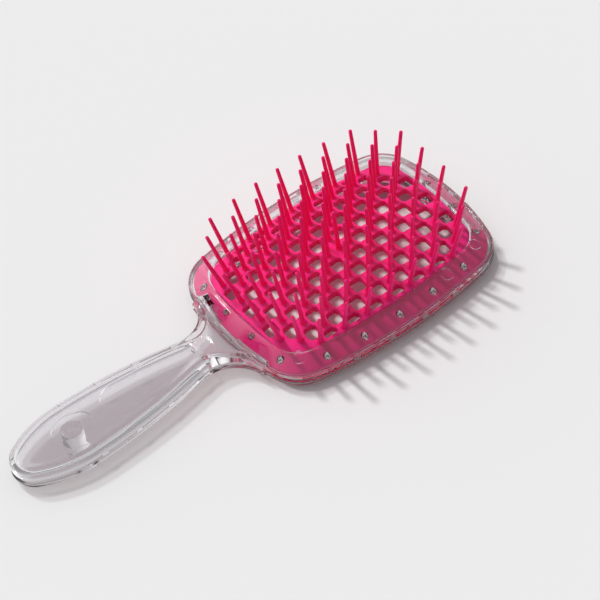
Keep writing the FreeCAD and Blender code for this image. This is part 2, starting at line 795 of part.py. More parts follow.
def pin_shape():
    """One pin, upright: a tapered shaft rooted below the net's surface and a blunt tip, all flat faces."""
    root = size("pin_root_diameter") / 2
    tip = size("pin_tip_diameter") / 2
    length = size("pin_length")
    rings = [corner_ring(root, -size("pin_root_depth")), corner_ring(tip, length - tip),
             corner_ring(tip / 2, length)]
    faces = [flat_face(rings[0]), flat_face(rings[-1])]
    for lower, upper in zip(rings, rings[1:]):
        for step in range(PIN_SIDES):
            faces.append(flat_face([lower[step - 1], lower[step], upper[step], upper[step - 1]]))
    return Part.makeSolid(Part.makeShell(faces))


def make_pins():
    """Every pin as its own solid, rooted in the net and pointing its own way."""
    upright = pin_shape()
    pins = []
    for i, j in pin_sites():
        place = lattice_point(i, j)
        pin = doc.addObject("Part::Feature", "Pin")
        pin.Shape = upright
        pin.Placement = Placement(dome_point(place.x, place.y), Rotation(Z, pin_direction(place.x, place.y)))
        pins.append(pin)
    return pins


def make_bristle_pad():
    """The soft pink moulding: net, flange and pins in one."""
    return fused("bristle_pad", [make_net(), make_flange()] + make_pins())


# ---------------------------------------------------------------- build

def check(parts):
    for item in doc.Objects:
        if "Invalid" in item.State or "Error" in item.State:
            raise RuntimeError(f"{item.Label} is {item.State}")
    for part in parts:
        shape = part.Shape
        if shape.isNull() or not shape.isValid():
            raise RuntimeError(f"{part.Label} has no valid shape")
        print(part.Label, "solids", len(shape.Solids), "volume", round(shape.Volume, 1))


def main():
    parts = [make_front_frame(), make_back_frame(), make_bristle_pad()]
    doc.recompute()
    check(parts)
    os.makedirs("parts", exist_ok=True)
    for part in parts:
        part.Shape.exportStep(f"parts/{part.Label}.step")


main()
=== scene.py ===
"""A vented vanity hairbrush: two clear mouldings that clamp a soft pink pad with splayed pins.

The clear mouldings and the pad are worked out as surfaces in millimetres, in the frame's own axes:
+X from the handle's end to the far end of the head, +Z the way the pins point.
"""

import logging
import math
from dataclasses import dataclass, field, replace
from enum import Enum

import bmesh
import bpy
import numpy as np
from mathutils import Matrix, Vector
from mathutils.geometry import delaunay_2d_cdt


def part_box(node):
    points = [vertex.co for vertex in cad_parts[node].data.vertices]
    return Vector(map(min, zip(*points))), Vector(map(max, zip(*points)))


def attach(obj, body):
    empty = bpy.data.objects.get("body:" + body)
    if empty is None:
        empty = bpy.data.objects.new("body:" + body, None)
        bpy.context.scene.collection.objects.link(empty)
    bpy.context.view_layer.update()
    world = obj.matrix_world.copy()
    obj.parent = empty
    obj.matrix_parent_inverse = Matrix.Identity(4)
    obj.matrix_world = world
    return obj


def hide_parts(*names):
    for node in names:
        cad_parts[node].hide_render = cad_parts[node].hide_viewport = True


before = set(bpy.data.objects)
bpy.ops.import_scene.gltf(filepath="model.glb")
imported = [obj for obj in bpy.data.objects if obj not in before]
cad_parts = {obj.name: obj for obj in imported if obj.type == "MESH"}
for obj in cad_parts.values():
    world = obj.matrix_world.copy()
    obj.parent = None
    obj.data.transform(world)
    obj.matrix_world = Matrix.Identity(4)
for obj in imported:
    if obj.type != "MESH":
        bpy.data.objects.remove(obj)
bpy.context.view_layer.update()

MM = 0.001
FAR = 1e3
BODY = "root"
log = logging.getLogger("hairbrush")


class Skin(Enum):
    """Which side of a slab a surface stands for."""

    TOP = 1
    BOTTOM = 0


# ------------------------------------------------------------------ mesh helpers

def grid_quads(rows: int, columns: int, close_rows: bool, close_columns: bool) -> np.ndarray:
    """Corner numbers of every quad of a grid of points.

    Args:
        rows: number of rows of points.
        columns: number of points in a row.
        close_rows: join the last row to the first.
        close_columns: join each row's last point to its first.

    Returns:
        Array of quads, four point numbers each: corner (r, c) is point r * columns + c.
    """
    r = np.arange(rows if close_rows else rows - 1)[:, None]
    c = np.arange(columns if close_columns else columns - 1)[None, :]
    r_next = (r + 1) % rows
    c_next = (c + 1) % columns
    quads = np.stack([r * columns + c, r * columns + c_next, r_next * columns + c_next,
                      r_next * columns + c], axis=-1)
    return quads.reshape(-1, 4)


def repeated(faces: np.ndarray, copies: int, step: int) -> np.ndarray:
    """The same faces for each of several copies of a form.

    Args:
        faces: the first copy's faces.
        copies: number of copies.
        step: number of points in one copy, so that copy k's faces are the first's plus k * step.

    Returns:
        Array of all the faces.
    """
    return (np.arange(copies)[:, None, None] * step + faces[None]).reshape(-1, faces.shape[1])


def clean(mesh: bpy.types.Mesh, merge: float, turn: bool) -> None:
    """Merge a mesh's doubles and dissolve its slivers.

    Args:
        mesh: the mesh.
        merge: how near in millimetres points are merged; edges under half of it are dissolved.
        turn: also turn the faces outwards.
    """
    shape = bmesh.new()
    shape.from_mesh(mesh)
    bmesh.ops.remove_doubles(shape, verts=shape.verts, dist=merge * MM)
    bmesh.ops.dissolve_degenerate(shape, edges=shape.edges, dist=merge / 2 * MM)
    if turn:
        bmesh.ops.recalc_face_normals(shape, faces=shape.faces)
    shape.to_mesh(mesh)
    shape.free()


def mesh_object(name: str, points: np.ndarray, faces: list) -> bpy.types.Object:
    """A mesh object from points in millimetres, with doubles merged and faces turned outwards.

    Args:
        name: the object's name.
        points: array of points, three numbers each.
        faces: arrays of quads or triangles, one after another.

    Returns:
        The new object, at the origin.
    """
    mesh = bpy.data.meshes.new(name)
    mesh.from_pydata((points * MM).tolist(), [], [face for block in faces for face in block.tolist()])
    clean(mesh, 0.002, True)
    piece = bpy.data.objects.new(name, mesh)
    bpy.context.scene.collection.objects.link(piece)
    return piece


def combine(base: bpy.types.Object, others: list, operation: str) -> None:
    """Join or cut a closed mesh by others, and remove the others.

    Args:
        base: the object that keeps the result.
        others: closed mesh objects.
        operation: UNION or DIFFERENCE.
    """
    tools = bpy.data.collections.new("tools")
    for other in others:
        tools.objects.link(other)
    change = base.modifiers.new("combine", "BOOLEAN")
    change.operation = operation
    change.operand_type = "COLLECTION"
    change.collection = tools
    change.solver = "EXACT"
    graph = bpy.context.evaluated_depsgraph_get()
    result = bpy.data.meshes.new_from_object(base.evaluated_get(graph))
    base.modifiers.clear()
    old = base.data
    base.data = result
    bpy.data.meshes.remove(old)
    for other in others:
        shape = other.data
        bpy.data.objects.remove(other)
        bpy.data.meshes.remove(shape)
    bpy.data.collections.remove(tools)


def finish_surface(piece: bpy.types.Object, crease: float) -> None:
    """Shade a piece smooth, with sharp edges where its faces meet at more than an angle.

    Args:
        piece: the object.
        crease: the angle in degrees.
    """
    mesh = piece.data
    clean(mesh, 0.004, False)
    mesh.polygons.foreach_set("use_smooth", np.ones(len(mesh.polygons), bool))
    mesh.set_sharp_from_angle(angle=math.radians(crease))
    mesh.update()


def rounded(corners: list, steps: int) -> np.ndarray:
    """A closed outline whose corners are arcs.

    At each corner the arc touches both sides: it starts a length r * tan(a / 2) before the corner,
    where a is the turn there, and its points swing evenly from the first side to the second.

    Args:
        corners: (x, y, radius) of each corner in order.
        steps: points on each arc.

    Returns:
        Array of points, two numbers each.
    """
    spots = np.array([corner[:2] for corner in corners], float)
    radii = np.array([corner[2] for corner in corners], float)
    before = spots - np.roll(spots, 1, axis=0)
    after = np.roll(spots, -1, axis=0) - spots
    before /= np.linalg.norm(before, axis=1, keepdims=True)
    after /= np.linalg.norm(after, axis=1, keepdims=True)
    cross = before[:, 0] * after[:, 1] - before[:, 1] * after[:, 0]
    turn = np.arctan2(cross, (before * after).sum(axis=1))
    start = spots - before * (radii * np.tan(np.abs(turn) / 2))[:, None]
    side = np.sign(turn)[:, None] * np.stack([-before[:, 1], before[:, 0]], axis=1)
    centre = start + side * radii[:, None]
    swing = turn[:, None] * np.linspace(0, 1, steps)[None, :]
    arm = (start - centre)[:, None, :]
    cos, sin = np.cos(swing)[..., None], np.sin(swing)[..., None]
    turned = np.concatenate([arm[..., :1] * cos - arm[..., 1:] * sin,
                             arm[..., :1] * sin + arm[..., 1:] * cos], axis=-1)
    return (centre[:, None, :] + turned).reshape(-1, 2)


def unit(turn: np.ndarray) -> np.ndarray:
    """Unit vectors at some angles."""
    return np.stack([np.cos(turn), np.sin(turn)], axis=-1)


def moved_out(outline: np.ndarray, offsets: np.ndarray) -> np.ndarray:
    """An anticlockwise outline moved out along its normals, by each of several offsets.

    Args:
        outline: the points, two numbers each.
        offsets: the distances.

    Returns:
        Array of outline points by offsets by two: point + normal * offset, where the normal is square to
        the line between the two neighbours.
    """
    ahead = np.roll(outline, -1, axis=0) - np.roll(outline, 1, axis=0)
    ahead /= np.linalg.norm(ahead, axis=1, keepdims=True)
    normal = np.stack([ahead[:, 1], -ahead[:, 0]], axis=1)
    return outline[:, None, :] + normal[:, None, :] * offsets[None, :, None]


def carried(name: str, flat: np.ndarray, heights: np.ndarray) -> bpy.types.Object:
    """A closed section carried round a closed ring.

    Args:
        name: the object's name.
        flat: X and Y of each section point, ring place by ring place.
        heights: Z of each section point.

    Returns:
        The closed mesh.
    """
    rise = np.broadcast_to(heights[None, :, None], flat.shape[:2] + (1,))
    points = np.concatenate([flat, rise], axis=-1).reshape(-1, 3)
    return mesh_object(name, points, [grid_quads(*flat.shape[:2], True, True)])


def turned(name: str, places: np.ndarray, profile: np.ndarray, sides: int = 24) -> bpy.types.Object:
    """A closed turned form at each of some places.

    Args:
        name: the object's name.
        places: middle of each form, two numbers each.
        profile: (radius, height) points, closed on the axis or on itself.
        sides: points round the axis.

    Returns:
        One object that holds all of them: point = place + radius * (cos, sin), height.
    """
    around = unit(np.linspace(0, 2 * math.pi, sides, endpoint=False))
    flat = places[:, None, None, :] + profile[None, None, :, :1] * around[None, :, None, :]
    height = np.broadcast_to(profile[None, None, :, 1:], flat.shape[:3] + (1,))
    points = np.concatenate([flat, height], axis=-1).reshape(-1, 3)
    quads = grid_quads(sides, len(profile), True, bool(profile[0, 0] > 0))
    return mesh_object(name, points, [repeated(quads, len(places), sides * len(profile))])


# ------------------------------------------------------------------ outlines

@dataclass(frozen=True)
class Oval:
    """A rounded-rectangle outline of eight tangent arcs round a middle point."""

    middle: float
    length: float
    width: float
    side: float
    end: float
    corner: float

    def inset(self, depth: float) -> "Oval":
        """The same outline, a distance inside this one."""
        return replace(self, length=self.length - 2 * depth, width=self.width - 2 * depth,
                       side=self.side - depth, end=self.end - depth, corner=self.corner - depth)

    def ring(self, sides: int = 44, ends: int = 28, corners: int = 16) -> np.ndarray:
        """Points along the outline, anticlockwise from the middle of the far end's arc.

        The corner arc's centre lies at (side - corner) from the side arc's centre and at (end - corner)
        from the end arc's centre, and each arc is cut into equal turns.

        Args:
            sides: points on each long side.
            ends: points on each end.
            corners: points on each corner.

        Returns:
            Array of points, two numbers each.
        """
        side_hub = np.array([0.0, self.width / 2 - self.side])
        end_hub = np.array([self.length / 2 - self.end, 0.0])
        reach_side, reach_end = self.side - self.corner, self.end - self.corner
        gap = end_hub - side_hub
        span = np.hypot(*gap)
        along = (reach_side ** 2 - reach_end ** 2 + span ** 2) / (2 * span)
        across = math.sqrt(reach_side ** 2 - along ** 2)
        gap /= span
        hub = side_hub + gap * along + np.array([gap[1], -gap[0]]) * across
        turn_side = math.atan2(hub[1] - side_hub[1], hub[0])
        turn_end = math.atan2(hub[1], hub[0] - end_hub[0])
        quarter = np.concatenate([
            end_hub + self.end * unit(np.linspace(0, turn_end, ends // 2, endpoint=False)),
            hub + self.corner * unit(np.linspace(turn_end, turn_side, corners, endpoint=False)),
            side_hub + self.side * unit(np.linspace(turn_side, math.pi / 2, sides // 2, endpoint=False)),
        ])
        last = side_hub + self.side * unit(np.array([math.pi / 2]))
        left = np.concatenate([last, quarter[:0:-1]]) * [-1, 1]
        half = np.concatenate([quarter, left])
        whole = np.concatenate([half, -half])
        return whole + [self.middle, 0]


@dataclass(frozen=True)
class Layout:
    """Sizes that the pieces share, in millimetres."""

    head_x: float
    head_length: float = 112.0
    head_width: float = 85.0
    lower_rim: float = 4.9
    upper_rim: float = 6.5
    outer_corner: float = 7.7
    lip: float = 12.4
    peg_radius: float = 1.3
    peg_pitch: tuple = (16.54, 16.28)
    peg_inset: tuple = (5.64, 6.6)
    peg_bow: tuple = (225.0, 142.0)
    rib_pitch: float = 16.0
    rib_plan: tuple = (3.0, 1.6)
    rib_root: float = 0.35
    trim: float = 0.02

    @property
    def outer(self) -> Oval:
        """The head's outer edge."""
        return Oval(self.head_x, self.head_length - 2 * self.trim, self.head_width - 2 * self.trim,
                    218.0, 107.0, 17.0)

    @property
    def opening(self) -> Oval:
        """The lip's inner edge."""
        return Oval(self.head_x, 94.0, 66.0, 232.0, 177.0, 12.0)

    @property
    def bezel_run(self) -> float:
        """Width of the bezel, seen from above."""
        return (self.head_width - self.opening.width) / 2

    @property
    def bezel_slope(self) -> float:
        """Rise of the bezel per millimetre across it."""
        return (self.lip - self.outer_corner) / self.bezel_run

    def across_bezel(self, share: np.ndarray) -> np.ndarray:
        """X and Y at some shares of the way from the head's outer edge to its opening, all round it."""
        share = share[None, :, None]
        return self.outer.ring()[:, None, :] * (1 - share) + self.opening.ring()[:, None, :] * share

    def ring_edge_x(self, y: np.ndarray) -> np.ndarray:
        """X of the head's outer edge on the handle's side, at a distance y from the middle line."""
        end = self.outer.end
        return self.head_x - self.head_length / 2 + end - np.sqrt(end ** 2 - y ** 2)

    def pegs(self) -> np.ndarray:
        """Middle of each locating peg: five along each side and four across each end.

        Each row bows in by the pitch squared over twice the mean radius of the two edges beside it.
        """
        step = np.array([-2.0, -1.0, 0.0, 1.0, 2.0])
        half = np.array([-1.5, -0.5, 0.5, 1.5])
        (side_pitch, end_pitch), (side_in, end_in), (side_bow, end_bow) = (
            self.peg_pitch, self.peg_inset, self.peg_bow)
        side_y = self.head_width / 2 - side_in - side_pitch ** 2 / (2 * side_bow) * step ** 2
        end_x = self.head_length / 2 - end_in - end_pitch ** 2 / (2 * end_bow) * half ** 2
        side = np.stack([side_pitch * step, side_y], axis=1)
        end = np.stack([end_x, end_pitch * half], axis=1)
        spots = np.concatenate([side, side * [1, -1], end, end * [-1, 1]])
        return spots + [self.head_x, 0]


# ------------------------------------------------------------------ finishes

def new_group(name: str, inputs: dict, outputs: dict) -> bpy.types.NodeTree:
    """A shader node group with float inputs and named outputs.

    Args:
        name: the group's name.
        inputs: default value of each float input.
        outputs: socket type of each output.

    Returns:
        The group, with its input and output nodes named "in" and "out".
    """
    group = bpy.data.node_groups.new(name, "ShaderNodeTree")
    for label, value in inputs.items():
        socket = group.interface.new_socket(label, in_out="INPUT", socket_type="NodeSocketFloat")
        socket.default_value = value
    for label, kind in outputs.items():
        group.interface.new_socket(label, in_out="OUTPUT", socket_type=kind)
    entry = group.nodes.new("NodeGroupInput")
    entry.name = "in"
    leave = group.nodes.new("NodeGroupOutput")
    leave.name = "out"
    return group


def set_inputs(tree: bpy.types.NodeTree, node: bpy.types.Node, inputs: dict) -> None:
    """Set or link a node's inputs.

    Args:
        tree: the node tree.
        node: the node.
        inputs: for each input's name or number, a value, or the output socket that feeds it.
    """
    for label, value in inputs.items():
        if isinstance(value, bpy.types.NodeSocket):
            tree.links.new(value, node.inputs[label])
        else:
            node.inputs[label].default_value = value


def add_node(tree: bpy.types.NodeTree, kind: str, inputs: dict | None = None,
             **settings: object) -> bpy.types.Node:
    """A new node with its settings and inputs.

    Args:
        tree: the node tree.
        kind: the node's type.
        inputs: as in set_inputs.
        settings: values of the node's own properties.

    Returns:
        The node.
    """
    node = tree.nodes.new(kind)
    for label, value in settings.items():
        setattr(node, label, value)
    set_inputs(tree, node, inputs or {})
    return node


def moulded_skin() -> bpy.types.NodeTree:
    """Group that gives a moulded plastic's fine grain, slow ripple and scattered rub marks.

    Grain and ripple are noises on Object coordinates. Height is grain * Grain + ripple * Ripple, Rub is a
    mask that runs from 0 on clean skin to 1 in a rub mark, and Mottle is the bare ripple.
    """
    name = "MouldedSkin"
    if name in bpy.data.node_groups:
        return bpy.data.node_groups[name]
    group = new_group(name, {"Grain Scale": 2600.0, "Ripple Scale": 90.0, "Grain": 0.3, "Ripple": 1.0},
                      {"Height": "NodeSocketFloat", "Rub": "NodeSocketFloat", "Mottle": "NodeSocketFloat"})
    entry = group.nodes["in"].outputs
    where = add_node(group, "ShaderNodeTexCoord").outputs["Object"]
    noise = "ShaderNodeTexNoise"
    grain = add_node(group, noise, {"Vector": where, "Scale": entry["Grain Scale"], "Detail": 2.0})
    ripple = add_node(group, noise, {"Vector": where, "Scale": entry["Ripple Scale"], "Detail": 3.0})
    rub = add_node(group, noise, {"Vector": where, "Scale": 210.0, "Detail": 6.0, "Roughness": 0.7})
    fine = add_node(group, "ShaderNodeMath", {0: grain.outputs["Fac"], 1: entry["Grain"]},
                    operation="MULTIPLY")
    height = add_node(group, "ShaderNodeMath", {0: ripple.outputs["Fac"], 1: entry["Ripple"],
                                                2: fine.outputs[0]}, operation="MULTIPLY_ADD")
    mask = add_node(group, "ShaderNodeMapRange", {"From Min": 0.56, "From Max": 0.78,
                                                  "Value": rub.outputs["Fac"]})
    set_inputs(group, group.nodes["out"], {"Height": height.outputs[0], "Rub": mask.outputs["Result"],
                                           "Mottle": ripple.outputs["Fac"]})
    return group


def skin_nodes(tree: bpy.types.NodeTree, settings: dict, gloss: tuple, relief: tuple) -> tuple:
    """The skin group in a material, with the roughness and normal that come from it.

    Args:
        tree: the material's node tree.
        settings: the group's own inputs.
        gloss: roughness of clean skin and of a rub mark.
        relief: strength and distance of the bump.

    Returns:
        The group's node, the roughness socket and the normal socket.
    """
    skin = add_node(tree, "ShaderNodeGroup", settings, node_tree=moulded_skin())
    rough = add_node(tree, "ShaderNodeMapRange", {"To Min": gloss[0], "To Max": gloss[1],
                                                  "Value": skin.outputs["Rub"]})
    bump = add_node(tree, "ShaderNodeBump", {"Strength": relief[0], "Distance": relief[1],
                                             "Height": skin.outputs["Height"]})
    return skin, rough.outputs["Result"], bump.outputs["Normal"]


class Finish:
    """A named finish, whose material is made once and then shared."""

    name: str

    def fill(self, tree: bpy.types.NodeTree) -> None:
        """Put the finish's nodes into a new material's tree."""
        raise NotImplementedError

    def material(self) -> bpy.types.Material:
        """The material."""
        if self.name not in bpy.data.materials:
            made = bpy.data.materials.new(self.name)
            made.use_nodes = True
            self.fill(made.node_tree)
        return bpy.data.materials[self.name]


@dataclass(frozen=True)
class ClearPlastic(Finish):
    """Polished clear styrene with a faint lavender cast, that lets lamp light through."""

    name: str = "ClearShell"
    tint: tuple = (0.972, 0.958, 0.975, 1.0)
    shade: tuple = (0.84, 0.818, 0.822, 1.0)
    roughness: float = 0.015
    rubbed: float = 0.09
    ior: float = 1.55
    bump: float = 0.02
    longest_path: float = 5.5

    def fill(self, tree: bpy.types.NodeTree) -> None:
        """Glass, with a pale Transparent for rays from lamps, scattered rays and long paths."""
        glass = tree.nodes["Principled BSDF"]
        _, rough, normal = skin_nodes(tree, {"Grain Scale": 900.0, "Ripple Scale": 110.0, "Grain": 0.05},
                                      (self.roughness, self.rubbed), (self.bump, 0.001))
        set_inputs(tree, glass, {"Base Color": self.tint, "Transmission Weight": 1.0, "IOR": self.ior,
                                 "Roughness": rough, "Normal": normal})
        path = add_node(tree, "ShaderNodeLightPath").outputs
        through = add_node(tree, "ShaderNodeBsdfTransparent", {"Color": self.shade})
        trapped = add_node(tree, "ShaderNodeMath", {0: path["Ray Depth"], 1: self.longest_path},
                           operation="GREATER_THAN")
        scattered = add_node(tree, "ShaderNodeMath", {0: path["Is Diffuse Ray"], 1: trapped.outputs[0]},
                             operation="MAXIMUM")
        straight = add_node(tree, "ShaderNodeMath", {0: path["Is Shadow Ray"], 1: scattered.outputs[0]},
                            operation="MAXIMUM")
        either = add_node(tree, "ShaderNodeMixShader", {0: straight.outputs[0], 1: glass.outputs["BSDF"],
                                                        2: through.outputs["BSDF"]})
        set_inputs(tree, tree.nodes["Material Output"], {"Surface": either.outputs["Shader"]})


@dataclass(frozen=True)
class SatinPink(Finish):
    """Soft moulded plastic in strong pink, with a satin skin."""

    name: str = "PinkPad"
    colour: tuple = (0.95, 0.020, 0.250, 1.0)
    deep: tuple = (0.86, 0.012, 0.205, 1.0)
    roughness: float = 0.42
    rubbed: float = 0.5
    grain: float = 0.4

    def fill(self, tree: bpy.types.NodeTree) -> None:
        """Mottled colour, uneven gloss and a fine grain."""
        skin, rough, normal = skin_nodes(tree, {"Grain": self.grain}, (self.roughness, self.rubbed),
                                         (0.12, 0.0004))
        spread = add_node(tree, "ShaderNodeMapRange", {"From Min": 0.3, "From Max": 0.6,
                                                       "Value": skin.outputs["Mottle"]})
        blend = add_node(tree, "ShaderNodeMix", {"A": self.deep, "B": self.colour,
                                                 "Factor": spread.outputs["Result"]}, data_type="RGBA")
        set_inputs(tree, tree.nodes["Principled BSDF"], {
            "Base Color": blend.outputs["Result"], "Roughness": rough, "Normal": normal, "IOR": 1.48,
            "Subsurface Weight": 0.35, "Subsurface Radius": (1.2, 0.12, 0.35), "Subsurface Scale": 0.001})


# ------------------------------------------------------------------ head ring

@dataclass
class HeadRing:
    """The clear bezel above and the clear bowl-shaped ring below, with pegs, sockets and ribs."""

    layout: Layout
    section: float = 9.0
    bowl: float = 4.4
    wall: float = 2.0
    seat_wall: float = 1.8
    seat_top: float = 6.6
    channel: float = 2.0
    peg_tip: float = 3.2
    peg_root: float = 1.9
    socket_radius: float = 2.5
    socket_top: float = 4.7
    mark_places: tuple = ((-42.7, -30.0), (42.4, -30.5), (25.0, -35.0))

    def bezel(self) -> bpy.types.Object:
        """The bezel: a closed section carried round the head.

        A section point (u, z) lies a share u / run of the way from the outer edge to the opening.
        """
        lay, run = self.layout, self.layout.bezel_run
        under = lay.upper_rim + 0.1 + (run - self.wall) * lay.bezel_slope
        section = rounded([(0.0, lay.upper_rim, 0.3), (self.wall, lay.upper_rim, 0.25),
                           (self.wall, lay.upper_rim + 0.1, 0.04), (run, under, 0.3),
                           (run, lay.lip, 0.75), (0.0, lay.outer_corner, 1.3)], 7)
        return carried("bezel", lay.across_bezel(section[:, 0] / run), section[:, 1])

    def bowl_ring(self) -> bpy.types.Object:
        """The lower ring: a closed section carried round the head, each point at its own inset."""
        lay = self.layout
        section = rounded([(0.0, 0.0, self.bowl), (self.section, 0.0, 0.5),
                           (self.section, self.seat_top, 0.4),
                           (self.section - self.seat_wall, self.seat_top, 0.4),
                           (self.section - self.seat_wall, self.channel, 0.6),
                           (self.wall, self.channel, 2.2), (self.wall, lay.lower_rim, 0.25),
                           (0.0, lay.lower_rim, 0.3)], 8)
        loops = np.stack([lay.outer.inset(depth).ring() for depth in section[:, 0]], axis=1)
        return carried("bowl_ring", loops, section[:, 1])

    def pegs(self) -> bpy.types.Object:
        """The locating pegs, each a pin with a rounded tip."""
        radius, low = self.layout.peg_radius, self.peg_tip
        high = self.layout.outer_corner + self.peg_root
        profile = np.array([(0, low), (radius - 0.4, low), (radius - 0.1, low + 0.12), (radius, low + 0.4),
                            (radius, high), (0, high)], float)
        return turned("pegs", self.layout.pegs(), profile)

    def sockets(self) -> bpy.types.Object:
        """The posts that the pegs stand in."""
        bore = self.layout.peg_radius + 0.15
        profile = rounded([(bore, self.channel - 0.3, 0.02), (self.socket_radius, self.channel - 0.3, 0.02),
                           (self.socket_radius, self.socket_top, 0.25), (bore, self.socket_top, 0.15)], 4)
        return turned("sockets", self.layout.pegs(), profile)

    def face_height(self, spots: np.ndarray) -> np.ndarray:
        """Height of the bezel's face at some points.

        Each point takes the share t along the nearest of the lines that cross the bezel from its outer
        edge to its opening, and the face rises evenly with t.
        """
        lay = self.layout
        outer = lay.outer.ring()
        across = lay.opening.ring() - outer
        reach = spots[:, None, :] - outer[None]
        share = np.clip((reach * across).sum(axis=-1) / (across ** 2).sum(axis=-1), 0, 1)
        away = np.hypot(*np.moveaxis(reach - share[..., None] * across, -1, 0))
        nearest = np.take_along_axis(share, away.argmin(axis=1)[:, None], axis=1)[:, 0]
        return lay.outer_corner + (lay.lip - lay.outer_corner) * nearest

    def marks(self) -> list:
        """Thin raised rings on the bezel's face, at the moulding's ejector places."""
        rings = []
        around = unit(np.linspace(0, 2 * math.pi, 40, endpoint=False))
        section = np.array([(2.05, -0.3), (2.08, 0.24), (2.38, 0.24), (2.42, -0.3)])
        for number, place in enumerate(self.mark_places):
            flat = around[:, None, :] * section[None, :, :1] + place + [self.layout.head_x, 0]
            height = self.face_height(flat.reshape(-1, 2)) + np.tile(section[:, 1], len(around))
            points = np.concatenate([flat.reshape(-1, 2), height[:, None]], axis=1)
            faces = grid_quads(len(around), len(section), True, True)
            rings.append(mesh_object(f"mark_{number}", points, [faces]))
        return rings

    def ribs(self) -> bpy.types.Object:
        """Short ribs in the joint gap: eight-cornered blocks turned to follow the outer wall."""
        lay = self.layout
        pitch, half = lay.rib_pitch, self.wall / 2
        step = np.array([-1.5, -0.5, 0.5, 1.5])
        turn = np.arcsin(pitch * step / lay.outer.side)
        hub = lay.head_width / 2 - lay.outer.side
        reach = lay.outer.side - half
        side = np.stack([np.sin(turn) * reach, hub + np.cos(turn) * reach], 1)
        far = np.arcsin(pitch * np.array([-1.0, 0.0, 1.0]) / lay.outer.end)
        end_hub = lay.head_length / 2 - lay.outer.end
        reach = lay.outer.end - half
        end = np.stack([end_hub + np.cos(far) * reach, np.sin(far) * reach], 1)
        places = np.concatenate([side, side * [1, -1], end]) + [lay.head_x, 0]
        angles = np.concatenate([-turn, turn, math.pi / 2 + far])
        return blocks("head_ribs", places, angles, lay)


def blocks(name: str, places: np.ndarray, angles: np.ndarray, layout: Layout) -> bpy.types.Object:
    """Upright blocks, one at each place, turned by an angle about Z.

    Args:
        name: the object's name.
        places: middle of each block, two numbers each.
        angles: turn of each block in radians.
        layout: gives the plan of a block and the rims that it bridges.

    Returns:
        One object that holds all of them: corner = place + turn * (+-length / 2, +-width / 2).
    """
    corner = np.array([(-1, -1), (1, -1), (1, 1), (-1, 1)], float) * np.array(layout.rib_plan) / 2
    heights = (layout.lower_rim - layout.rib_root, layout.upper_rim - layout.trim)
    cos, sin = np.cos(angles)[:, None], np.sin(angles)[:, None]
    x = places[:, :1] + corner[None, :, 0] * cos - corner[None, :, 1] * sin
    y = places[:, 1:] + corner[None, :, 0] * sin + corner[None, :, 1] * cos
    flat = np.stack([x, y], axis=-1)
    levels = [np.concatenate([flat, np.full(x.shape + (1,), height)], axis=-1) for height in heights]
    points = np.concatenate(levels, axis=1).reshape(-1, 3)
    quads = np.array([(3, 2, 1, 0), (4, 5, 6, 7), (0, 1, 5, 4), (1, 2, 6, 5), (2, 3, 7, 6), (3, 0, 4, 7)])
    return mesh_object(name, points, [repeated(quads, len(places), 2 * len(corner))])


# ------------------------------------------------------------------ handle

